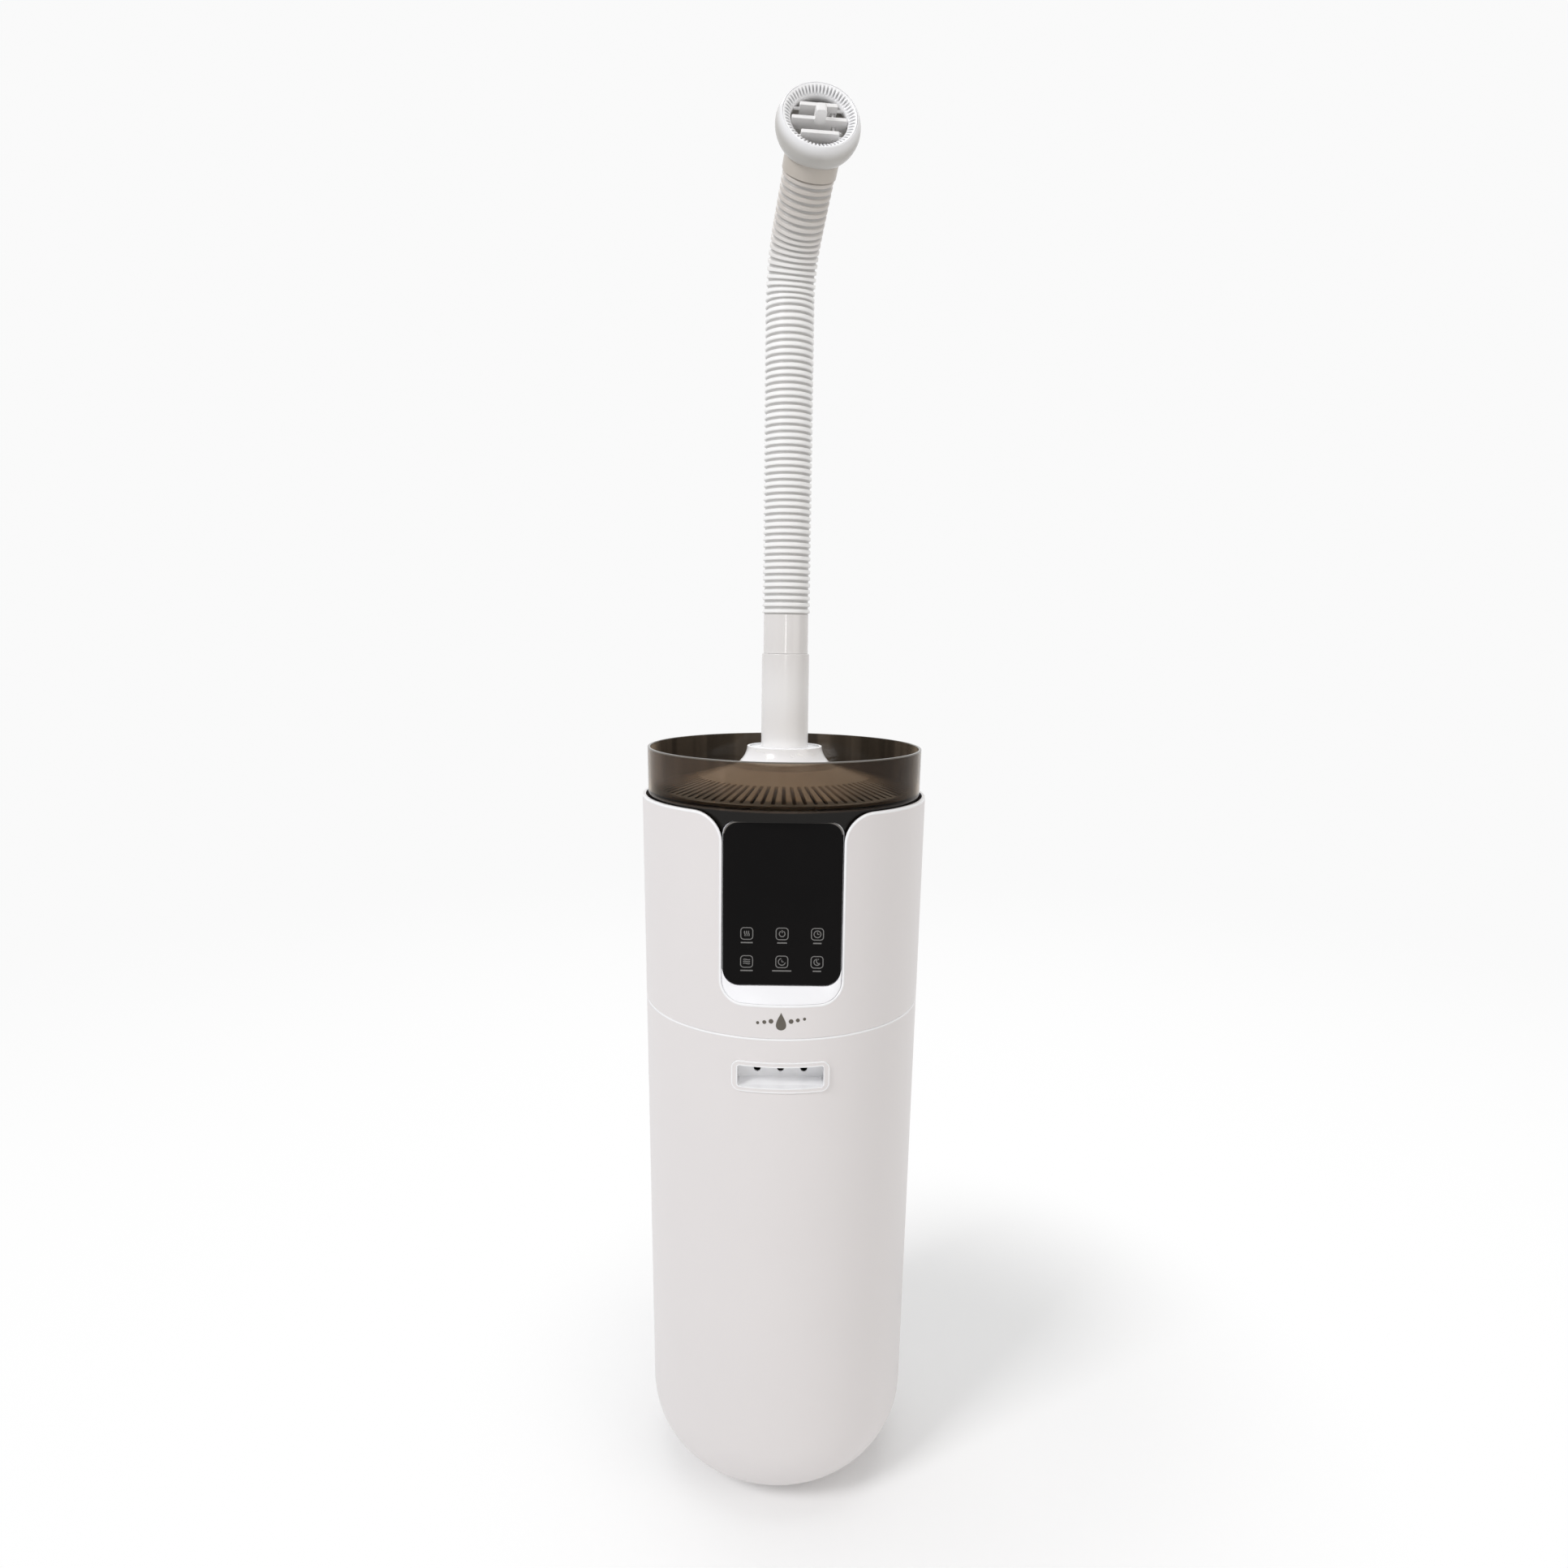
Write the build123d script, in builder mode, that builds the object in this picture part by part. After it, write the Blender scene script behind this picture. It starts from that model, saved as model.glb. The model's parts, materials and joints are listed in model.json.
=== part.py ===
from build123d import *
import os
from math import cos, degrees, radians, sin, sqrt, tan

os.makedirs("parts", exist_ok=True)

# A floor-standing top-fill cool mist humidifier, in millimetres.
# The origin is the centre of the foot on the floor, +Z is up and the display faces -Y.

# ---------------------------------------------------------------- casing sizes
foot_height = 3.0
foot_outer_r = 50.0
foot_width = 12.0
tank_height = 460.5          # foot to the seam between the two barrels
display_height = 139.0
display_bottom_rise = 43.5   # above the seam
shell_above_display = 7.0
shell_top_r = 130.0
shell_draft = 0.82           # degrees, the barrels narrow downwards
shell_wall = 3.0
base_round = 70.0
seam_gap = 0.3
lip_round = 1.2
rim_rise = 43.0              # how far the smoked shell stands above the white one
smoked_gap = 2.2             # air between the white and the smoked shell
smoked_wall = 2.5

# Clearances shared by the fits
running_gap = 0.06           # shaft in its bush, on the radius
slide_gap = 0.4              # parts that lift off, on the radius
seat_gap = 0.3               # faces that rest on each other across a joint
fixed_gap = 0.1              # fixed parts in their holes, on the radius

seam_z = foot_height + tank_height
shell_height = display_bottom_rise + display_height + shell_above_display
shell_top_z = seam_z + shell_height
rim_z = shell_top_z + rim_rise
smoked_inset = shell_wall + smoked_gap
far = 2 * shell_top_r        # long enough to cut right through the casing
bite = 1.0                   # how far joined or cut forms run past each other

# Carrying grips
grip_width = 83.0
grip_height = 26.6
grip_top_below_seam = 20.9
grip_corner = 7.0
pocket_corner = 2.0
grip_lip_in = 7.0            # the drained floor ends this far behind the face
grip_border = 5.0            # bezel beside the pocket
grip_border_high = 4.0       # bezel above and below it
grip_depth = 21.0
grip_wall = 1.8
grip_rise = 1.4
grip_slope = 1.6             # its floor drains outwards
vent_r = 3.0
vent_pitch = 20.0
vent_count = 3
vent_rise = -0.4
grip_z = seam_z - grip_top_below_seam - grip_height / 2

# Display and its notch
display_half = 49.5
display_side_gap = 0.85      # glass to the notch's edge
chin_height = 14.0           # notch bottom to the glass
notch_corner = 18.0
shoulder_round = 25.0
display_set_in = 12.0        # the flat glass behind the shell's widest point
display_top_corner = 11.0
display_bottom_corner = 14.0
glass_thick = 2.4
glass_bevel = 0.8
panel_gap = 0.3
frame_plate = 3.0
frame_depth = 9.0
frame_wall = 4.0
flange_corner = 4.0
flange_over = 5.5
flange_thick = 2.0
board_thick = 1.6
cover_depth = 12.0
cover_wall = 2.0
cover_inset = 3.0
cover_corner = 6.0
neck_corner = 3.0
neck_width = 36.0
neck_height = 26.0
notch_half = display_half + display_side_gap
display_face = shell_top_r - display_set_in
display_z = seam_z + display_bottom_rise
display_top_z = display_z + display_height
notch_z = display_z - chin_height

# Floor of the upper unit
flange_z = seam_z + 6.5      # underside of the white shell's inner flange
inner_flange_thick = 3.0
inner_flange_width = 10.9
floor_thick = 4.0
skirt_depth = 18.0
skirt_wall = 2.5
window_margin = 3.0          # case flange to the windows
window_border = 4.5          # windows to the inner flange
spoke_width = 10.0
spoke_count = 8
floor_screw_in = 4.1         # screws inside the inner flange's edge
floor_screw_count = 6
floor_screw_start = 15.0     # degrees

# Screws
screw_r = 1.5
screw_head_r = 2.7
screw_head = 1.8

# Dry case and what stands in it
case_r = 76.0
case_height = 88.0
case_wall = 2.5
case_flange_width = 7.0
case_flange = 3.0
case_screw_count = 4
case_screw_start = 45.0      # degrees
board_width = 92.0
board_length = 38.0
board_y = -34.0
post_height = 8.0
post_r = 3.0
transformer_width = 26.0
transformer_length = 22.0
transformer_height = 18.0
capacitor_r = 5.0
capacitor_height = 15.0
capacitor_pitch_x = 13.0
capacitor_pitch_y = 14.0
heat_sink_thick = 5.0
heat_sink_length = 28.0
heat_sink_height = 22.0

# Fan
fan_r = 34.0
fan_side_gap = 5.5           # to the case's wall
fan_height = 30.0
fan_wall = 2.0
fan_intake_r = 18.0
fan_leg = 26.0
fan_leg_r = 3.5
fan_leg_count = 3
blade_count = 24
blade_inner_r = 19.0
blade_outer_r = 29.0
blade_height = 12.0
blade_thick = 1.0
fan_disc_thick = 1.6
motor_r = 11.0
motor_height = 10.0
shaft_r = 1.5
shaft_length = 5.0

# Air duct from the fan to the basin
duct_width = 24.0
duct_depth = 14.0
duct_wall = 2.0
duct_behind_fan = 17.0
duct_above_basin = 42.0

# Rear intake
intake_width = 82.0
intake_height = 34.0
intake_rise = 31.5           # its centre above the seam
intake_wall = 2.0
intake_corner = 2.0
panel_flange = 3.3
panel_flange_corner = 3.0
panel_flange_thick = 1.7
panel_proud = 0.6
panel_behind = 0.5
slot_width = 2.6
slot_height = 24.0
slot_pitch = 5.0
slot_count = 9
slot_x = -14.0
inlet_x = 27.0
inlet_width = 21.0
inlet_height = 14.0
inlet_depth = 18.0
inlet_wall = 1.6
inlet_corner = 3.0
inlet_pin_r = 1.2
inlet_pin_half = 4.3
inlet_pin_length = 11.0
intake_z = seam_z + intake_rise

# Mist basin
basin_r = 62.0
basin_wall = 2.5
basin_height = 54.0
transducer_y = -12.0
transducer_r = 20.0
transducer_thick = 3.0
transducer_edge = 4.0        # its seat under the rim
disc_r = 10.0
disc_thick = 1.2
disc_rise = 0.8
disc_lap = 0.5
seal_width = 3.0
seal_thick = 1.0
riser_x = 35.0
riser_r = 6.0
riser_wall = 1.5
riser_above_floor = 14.0
overflow_r = 7.0
overflow_above_floor = 36.0
overflow_below = 24.0
float_x = 30.0
float_y = -36.0
float_r = 9.0
float_height = 14.0
float_stem_r = 2.5
float_travel = 16.0
float_round = 1.5
stem_foot_thick = 0.8
stem_head_thick = 1.5
stem_head_over = 2.0
hood_wall = 2.5
hood_lap = 6.0
hood_rise = 50.0
hood_shoulder_r = 24.0
hood_throat = 22.0           # straight part under the tube's seat
neck_wall = 2.4
neck_length = 28.0

# Pump
pump_r = 26.0
pump_wall = 2.5
pump_clear = 2.0             # above the tank's floor
strainer_height = 8.0
strainer_inset = 2.0
strainer_slots = 12
strainer_slot_width = 2.4
strainer_rim = 2.0
pump_body_height = 34.0
impeller_r = 12.0
impeller_height = 8.0
impeller_blades = 6
impeller_blade_thick = 1.4
impeller_disc = 1.5
chamber_gap = 2.0
pump_lid = 3.0
pump_round = 4.0
pump_intake_r = 6.0
riser_socket = 8.0

# Lid
lid_drop = 39.0              # lid rim below the smoked rim
lid_thick = 2.3
lid_rim = 5.0
lid_slope = 15.0             # degrees
lid_gap = 0.5
ledge_width = 4.2
ledge_thick = 3.0
slot_border = 1.9            # slots to the lid's flat rim
slot_length = 36.0
lid_slots = 80
lid_slot_width = 3.4
collar_top_r = 34.2
collar_base_r = 48.0
collar_height = 39.0         # above the lid's rim
collar_wall = 2.4
collar_curve = 21.0
collar_seat = 8.0            # width of its foot on the lid

# Mist tube and hose
tube_r = 21.5
tube_wall = 1.5
tube_height = 116.0
tube_seal_height = 2.0
cuff_r = 20.2
cuff_wall = 2.0
cuff_show = 35.0
cuff_inside = 30.0
cuff_ring = 2.4
hose_r = 21.4
hose_wall = 1.6
ridge_pitch = 5.8
ridge_depth = 1.7
ridge_width = 3.6
lower_run = 96.0             # first stiff stretch of hose
lower_bend_length = 58.0     # flexible stretch in the upright run
middle_run = 109.0
bend_r = 85.0
bend_angle = 43.0            # degrees, how far the hose leans at rest
bend_turn = 15.5             # degrees, the lean points this far right of the display
upper_run = 44.4
zone_gap = 0.4

# Outlet head
sleeve_r = 22.4
sleeve_bore_r = 15.8
sleeve_length = 12.0
sleeve_lap = 12.0
spigot_r = 19.0
spigot_length = 6.0
head_r = 34.0                # across the outlet
head_depth = 25.0            # from its centre to its back, along the outlet
head_wall = 2.4
head_beyond = 33.5           # head centre beyond the hose's end
outlet_yaw = 8.0             # degrees, outlet right of the display's direction
outlet_rise = 20.0           # degrees above level
mouth_offset = 11.6          # mouth plane in front of the head's centre
mouth_edge = 0.8             # of the head round the ring
mouth_ring_wall = 6.5
mouth_ring_lip = 1.0
mouth_ring_flare = 4.2
mouth_ring_depth = 11.2
ring_catch = 1.3
ring_catch_thick = 1.5
louver_count = 3
louver_edge = 10.3           # outer louvers to the ring's throat
louver_chord = 11.0
louver_thick = 3.0
louver_pin_r = 1.2
louver_end_gap = 0.5
louver_swing = 25.0          # degrees each way
louver_pivot_depth = 8.8     # behind the mouth plane
pin_reach = 2.0
knob_width = 8.4
knob_length = 14.0
knob_thick = 6.6
knob_root = 3.0              # how far it runs into the louver
knob_round = 2.4
louver_round = 1.0
link_pin_r = 1.0
link_edge = 0.8              # material round the link's holes
link_slot_width = 4.0
link_thick = 1.6
link_round = 1.4
link_room = 0.3              # round the bar as the louvers swing
link_side = 10.8             # link bar to the ring's throat
follow_swing = 30.0          # degrees, travel of the louvers that follow


def casing_r(z, inset=0.0):
    """Outer radius of the drafted casing at a height, less an inset."""
    return shell_top_r - (shell_top_z - z) * tan(radians(shell_draft)) - inset


case_flange_r = case_r + case_flange_width
fan_y = case_r - case_wall - fan_side_gap - fan_r
duct_y = fan_y + duct_behind_fan
mouth_ring_r = head_r * sqrt(1 - (mouth_offset / head_depth) ** 2) - mouth_edge
mouth_ring_inner = mouth_ring_r - mouth_ring_wall
louver_pitch = 2 * (mouth_ring_inner - louver_edge) / (louver_count - 1)
link_x = mouth_ring_inner - link_side
inner_flange_r = casing_r(flange_z, shell_wall + inner_flange_width)
window_outer_r = inner_flange_r - window_border
window_inner_r = case_flange_r + window_margin
floor_screw_r = inner_flange_r + floor_screw_in
case_screw_r = (case_r + case_flange_r) / 2


def barrel(inset, low, high, corner=0.0):
    """Solid drafted barrel, with its bottom corner rounded."""
    with BuildPart() as body:
        with BuildSketch(Plane.XZ) as profile:
            with BuildLine():
                Polyline(
                    (0, low),
                    (casing_r(low, inset), low),
                    (casing_r(high, inset), high),
                    (0, high),
                    close=True,
                )
            make_face()
            if corner:
                fillet(profile.vertices().group_by(Axis.Y)[0].sort_by(Axis.X)[-1], corner)
        revolve(axis=Axis.Z)
    return body.part


def band(outer_inset, inner_inset, low, high):
    """Drafted ring between two insets of the casing."""
    with BuildPart() as body:
        with BuildSketch(Plane.XZ):
            with BuildLine():
                Polyline(
                    (casing_r(low, inner_inset), low),
                    (casing_r(low, outer_inset), low),
                    (casing_r(high, outer_inset), high),
                    (casing_r(high, inner_inset), high),
                    close=True,
                )
            make_face()
        revolve(axis=Axis.Z)
    return body.part


def tube(x, y, low, high, outer, inner=0.0):
    """Upright tube, or a rod where inner is nothing."""
    with BuildPart() as body:
        with BuildSketch(Plane.XY.offset(low)):
            with Locations((x, y)):
                Circle(outer)
                if inner:
                    Circle(inner, mode=Mode.SUBTRACT)
        extrude(amount=high - low)
    return body.part


def block(width, height, centre_z, near, deep, corner=0.0, centre_x=0.0):
    """Block with rounded corners seen from the front, from y=near to y=deep."""
    with BuildPart() as body:
        with BuildSketch(Plane.XZ.offset(-near)):
            with Locations((centre_x, centre_z)):
                if corner:
                    RectangleRounded(width, height, corner)
                else:
                    Rectangle(width, height)
        extrude(amount=near - deep)
    return body.part


def pan_screws(places, head_z, length, up):
    """Pan-head screws: heads at head_z, shanks reaching up or down."""
    step = 1 if up else -1
    with BuildPart() as body:
        with BuildSketch(Plane.XY.offset(head_z)):
            with Locations(*places):
                Circle(screw_head_r)
        extrude(amount=-step * screw_head)
        with BuildSketch(Plane.XY.offset(head_z)):
            with Locations(*places):
                Circle(screw_r)
        extrude(amount=step * length)
    return body.part


def ring_places(radius, count, start=0.0):
    """Points evenly spaced on a circle."""
    angles = [radians(start + 360 * i / count) for i in range(count)]
    return [(radius * cos(a), radius * sin(a)) for a in angles]


def save(holder, label):
    """Label a finished piece and write its STEP file."""
    holder.part.label = label
    export_step(holder.part, f"parts/{label}.step")


# ================================================================= lower unit
# Water tank: a drafted barrel with a fully rounded bottom.
pocket_width = grip_width - 2 * grip_border
pocket_height = grip_height - 2 * grip_border_high
with BuildPart() as lower_shell:
    add(barrel(0, foot_height, seam_z, base_round))
    add(
        barrel(shell_wall, foot_height + shell_wall, seam_z + bite, base_round - shell_wall),
        mode=Mode.SUBTRACT,
    )
    with BuildSketch(Plane.XZ):
        with Locations((0, grip_z)):
            RectangleRounded(
                pocket_width + 2 * grip_wall + 2 * fixed_gap,
                pocket_height + 2 * grip_wall + 2 * fixed_gap,
                pocket_corner + grip_wall + fixed_gap,
            )
    extrude(amount=far, both=True, mode=Mode.SUBTRACT)
    fillet(lower_shell.edges().filter_by(GeomType.CIRCLE).group_by(Axis.Z)[-1], lip_round / 2)
save(lower_shell, "lower_shell")

# Grip: a bezel wrapped on the barrel with a pocket behind it and overflow vents in its back.
grip_face = casing_r(grip_z)
pocket_back = grip_face - grip_depth
with BuildPart() as front_grip:
    add(block(grip_width, grip_height, grip_z, 0, -far, grip_corner))
    add(
        band(-grip_rise, 0, grip_z - grip_height, grip_z + grip_height),
        mode=Mode.INTERSECT,
    )
    pocket = block(
        pocket_width + 2 * grip_wall,
        pocket_height + 2 * grip_wall,
        grip_z,
        -(pocket_back - grip_wall),
        -far,
        pocket_corner + grip_wall,
    )
    add(pocket & barrel(0, grip_z - grip_height, grip_z + grip_height))
    add(
        block(pocket_width, pocket_height, grip_z, -pocket_back, -far, pocket_corner),
        mode=Mode.SUBTRACT,
    )
    with BuildSketch(Plane.YZ):
        low_z = grip_z - pocket_height / 2
        with BuildLine():
            Polyline(
                (-pocket_back, low_z - grip_wall / 2),
                (-pocket_back, low_z + grip_slope),
                (-grip_face + grip_lip_in, low_z),
                (-grip_face + grip_lip_in, low_z - grip_wall / 2),
                close=True,
            )
        make_face()
    extrude(amount=pocket_width / 2 - bite, both=True)
    with BuildSketch(Plane.XZ):
        with GridLocations(vent_pitch, 0, vent_count, 1):
            with Locations((0, grip_z + vent_rise)):
                Circle(vent_r)
    extrude(amount=pocket_back + bite, mode=Mode.SUBTRACT)
save(front_grip, "front_grip")

with BuildPart() as rear_grip:
    add(front_grip.part.rotate(Axis.Z, 180))
save(rear_grip, "rear_grip")

with BuildPart() as foot_ring:
    add(tube(0, 0, 0, foot_height, foot_outer_r, foot_outer_r - foot_width))
    fillet(foot_ring.edges().group_by(Axis.Z)[0], foot_height / 4)
save(foot_ring, "foot_ring")

# ================================================================= upper casing
# White shell with its display notch, inner flange and rear intake opening.
shell_low_z = seam_z + seam_gap
with BuildPart() as upper_shell:
    add(band(0, shell_wall, shell_low_z, shell_top_z))
    with BuildSketch(Plane.XY.offset(flange_z)):
        Circle(casing_r(flange_z, shell_wall / 2))
        Circle(inner_flange_r, mode=Mode.SUBTRACT)
    extrude(amount=inner_flange_thick)
    with BuildSketch(Plane.XZ) as notch:
        shoulder_x = notch_half + 2 * shoulder_round
        with BuildLine():
            Polyline(
                (-shoulder_x, shell_top_z),
                (-notch_half, shell_top_z),
                (-notch_half, notch_z),
                (notch_half, notch_z),
                (notch_half, shell_top_z),
                (shoulder_x, shell_top_z),
                (shoulder_x, rim_z),
                (-shoulder_x, rim_z),
                close=True,
            )
        make_face()
        fillet(notch.vertices().group_by(Axis.Y)[0], notch_corner)
        fillet(notch.vertices().group_by(Axis.Y)[-2].sort_by(Axis.X)[1:3], shoulder_round)
    extrude(amount=far, mode=Mode.SUBTRACT)
    add(
        block(intake_width + 2 * seat_gap, intake_height + 2 * seat_gap, intake_z, far, 0, intake_corner),
        mode=Mode.SUBTRACT,
    )
    with Locations((0, 0, flange_z)):
        with PolarLocations(floor_screw_r, floor_screw_count, floor_screw_start):
            Hole(screw_r + fixed_gap / 2, depth=inner_flange_thick)
    outer_face = upper_shell.faces().filter_by(GeomType.CONE).sort_by(SortBy.AREA)[-1]
    lip_edges = [
        edge
        for edge in outer_face.edges()
        if edge.geom_type != GeomType.LINE
        and (
            edge.center().Z > shell_top_z - bite
            or (edge.center().Y < 0 and edge.center().Z > notch_z - bite)
        )
    ]
    fillet(lip_edges, lip_round)
save(upper_shell, "upper_shell")

# Smoked inner shell: carries the lid on a ledge and has the display window.
smoked_low_z = flange_z + inner_flange_thick
lid_z = rim_z - lid_drop
smoked_inner = smoked_inset + smoked_wall
with BuildPart() as smoked_shell:
    add(band(smoked_inset, smoked_inner, smoked_low_z, rim_z))
    fillet(smoked_shell.edges().group_by(Axis.Z)[-1], smoked_wall / 4)
    with BuildSketch(Plane.XY.offset(lid_z - ledge_thick)):
        Circle(casing_r(lid_z, smoked_inner - smoked_wall / 2))
        Circle(casing_r(lid_z, smoked_inner + ledge_width), mode=Mode.SUBTRACT)
    extrude(amount=ledge_thick)
    add(
        block(
            2 * notch_half,
            display_top_z - notch_z + 2 * panel_gap,
            (display_top_z + notch_z) / 2,
            0,
            -far,
            display_top_corner,
        ),
        mode=Mode.SUBTRACT,
    )
    add(
        block(intake_width + 2 * seat_gap, intake_height + 2 * seat_gap, intake_z, far, 0, intake_corner),
        mode=Mode.SUBTRACT,
    )
save(smoked_shell, "smoked_shell")

# ================================================================= display
glass_back = display_face - glass_thick
frame_back = glass_back - frame_plate - frame_depth
frame_half = notch_half - panel_gap
frame_low = notch_z + panel_gap
frame_mid = (frame_low + display_top_z) / 2
frame_tall = display_top_z - frame_low


def corner_height(x, half, radius, low):
    """Height of a rounded bottom outline at a distance x from its middle."""
    into = abs(x) - (half - radius)
    if into <= 0:
        return low
    return low + radius - sqrt(max(radius**2 - into**2, 0))


# The chin slopes from the round shell back to the bottom of the flat glass.
chin_steps = 14
with BuildPart() as chin:
    for i in range(-chin_steps, chin_steps + 1):
        x = frame_half * sin(radians(90 * i / chin_steps))
        low = corner_height(x, frame_half, notch_corner - panel_gap, frame_low)
        high = corner_height(x, display_half, display_bottom_corner, display_z) - 2 * panel_gap
        reach = sqrt(casing_r(notch_z) ** 2 - x**2) - panel_gap
        with BuildSketch(Plane.YZ.offset(x)):
            with BuildLine():
                Polyline(
                    (-glass_back + bite, low),
                    (-glass_back + bite, high),
                    (-display_face, high),
                    (-reach, low),
                    close=True,
                )
            make_face()
    loft(ruled=True)

cover_half = frame_half + flange_over
cover_tall = frame_tall + 2 * flange_over
cover_screw_x = cover_half - screw_head_r - seat_gap
cover_screws = [
    (sx * cover_screw_x, frame_mid + sz * (cover_tall / 2 - screw_head_r - seat_gap))
    for sx in (-1, 1)
    for sz in (-1, 1)
]

# White frame behind the glass, with a flange inside the smoked shell.
with BuildPart() as display_frame:
    outline = block(2 * frame_half, frame_tall, frame_mid, -frame_back, -glass_back, display_top_corner)
    bottom = block(2 * frame_half, frame_tall, frame_mid, -frame_back, -glass_back, notch_corner - panel_gap)
    upper = block(far, frame_tall, frame_mid + frame_tall / 2, -frame_back, -glass_back)
    add(bottom + (outline & upper))
    add(chin.part)
    add(block(2 * cover_half, cover_tall, frame_mid, -frame_back, -frame_back - flange_thick, flange_corner))
    add(
        block(
            2 * (frame_half - frame_wall),
            frame_tall - 2 * frame_wall,
            frame_mid,
            -frame_back,
            -glass_back + frame_plate,
            display_top_corner - frame_wall,
        ),
        mode=Mode.SUBTRACT,
    )
    with BuildSketch(Plane.XZ.offset(frame_back)):
        with Locations(*cover_screws):
            Circle(screw_r + fixed_gap / 2)
    extrude(amount=flange_thick, mode=Mode.SUBTRACT)
save(display_frame, "display_frame")

with BuildPart() as display_glass:
    round_bottom = block(
        2 * display_half, display_height, display_z + display_height / 2, -glass_back, -display_face,
        display_bottom_corner,
    )
    round_top = block(
        2 * display_half, display_height, display_z + display_height / 2, -glass_back, -display_face,
        display_top_corner,
    )
    upper_half = block(far, display_height, display_top_z, -glass_back, -display_face)
    add(round_bottom + (round_top & upper_half))
    chamfer(display_glass.faces().sort_by(Axis.Y)[0].edges(), glass_bevel)
save(display_glass, "display_glass")

with BuildPart() as display_board:
    board_front = glass_back - frame_plate
    add(
        block(
            2 * (frame_half - frame_wall - bite),
            frame_tall - 2 * (frame_wall + bite),
            frame_mid,
            -(board_front - board_thick),
            -board_front,
            display_top_corner - frame_wall - bite,
        )
    )
save(display_board, "display_board")

# Back cover of the display, with a neck that carries its wires to the dry case.
cover_back = frame_back - cover_depth
neck_z = frame_low + neck_height
with BuildPart() as display_cover:
    add(
        block(
            2 * cover_half,
            cover_tall,
            frame_mid,
            -(frame_back - cover_wall),
            -frame_back,
            flange_corner,
        )
    )
    add(
        block(
            2 * (frame_half - cover_inset),
            frame_tall - 2 * cover_inset,
            frame_mid,
            -cover_back,
            -frame_back,
            cover_corner,
        )
    )
    neck = block(neck_width, neck_height, neck_z, 0, -cover_back - bite, neck_corner)
    add(neck - tube(0, 0, 0, rim_z, case_r + fixed_gap))
    add(
        block(
            2 * (frame_half - cover_inset - cover_wall),
            frame_tall - 2 * (cover_inset + cover_wall),
            frame_mid,
            -(cover_back + cover_wall),
            -frame_back - bite,
            cover_corner - cover_wall,
        ),
        mode=Mode.SUBTRACT,
    )
    add(
        block(
            neck_width - 2 * cover_wall,
            neck_height - 2 * cover_wall,
            neck_z,
            0,
            -frame_back,
            neck_corner - cover_wall,
        ),
        mode=Mode.SUBTRACT,
    )
    with BuildSketch(Plane.XZ.offset(frame_back)):
        with Locations(*cover_screws):
            Circle(screw_r + fixed_gap / 2)
    extrude(amount=-cover_wall, mode=Mode.SUBTRACT)
save(display_cover, "display_cover")

with BuildPart() as display_screws:
    with BuildSketch(Plane.XZ.offset(frame_back - cover_wall)):
        with Locations(*cover_screws):
            Circle(screw_head_r)
    extrude(amount=-screw_head)
    with BuildSketch(Plane.XZ.offset(frame_back - cover_wall)):
        with Locations(*cover_screws):
            Circle(screw_r)
    extrude(amount=cover_wall + flange_thick)
save(display_screws, "display_screws")

# ================================================================= unit floor
floor_low_z = flange_z - floor_thick
skirt_low_z = floor_low_z - skirt_depth
skirt_r = casing_r(skirt_low_z, shell_wall + slide_gap)
with BuildPart() as unit_floor:
    with BuildSketch(Plane.XY.offset(floor_low_z)):
        Circle(casing_r(floor_low_z, shell_wall + fixed_gap))
        Circle(window_outer_r, mode=Mode.SUBTRACT)
        Circle(window_inner_r)
        with PolarLocations((window_inner_r + window_outer_r) / 2, spoke_count):
            Rectangle(window_outer_r - window_inner_r + spoke_width, spoke_width)
        with Locations((riser_x, 0)):
            Circle(riser_r + fixed_gap, mode=Mode.SUBTRACT)
        with Locations((-riser_x, 0)):
            Circle(overflow_r + fixed_gap, mode=Mode.SUBTRACT)
        with PolarLocations(floor_screw_r, floor_screw_count, floor_screw_start):
            Circle(screw_r + fixed_gap / 2, mode=Mode.SUBTRACT)
        with PolarLocations(case_screw_r, case_screw_count, case_screw_start):
            Circle(screw_r + fixed_gap / 2, mode=Mode.SUBTRACT)
    extrude(amount=floor_thick)
    with BuildSketch(Plane.XY.offset(skirt_low_z)):
        Circle(skirt_r)
        Circle(skirt_r - skirt_wall, mode=Mode.SUBTRACT)
    extrude(amount=skirt_depth)
    with BuildSketch(Plane.XY.offset(flange_z)):
        with Locations((0, board_y)):
            with GridLocations(board_width - 3 * post_r, board_length - 3 * post_r, 2, 2):
                Circle(post_r)
    extrude(amount=post_height)
save(unit_floor, "unit_floor")

with BuildPart() as floor_screws:
    add(
        pan_screws(
            ring_places(floor_screw_r, floor_screw_count, floor_screw_start),
            floor_low_z,
            floor_thick + inner_flange_thick,
            True,
        )
    )
save(floor_screws, "floor_screws")

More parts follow.
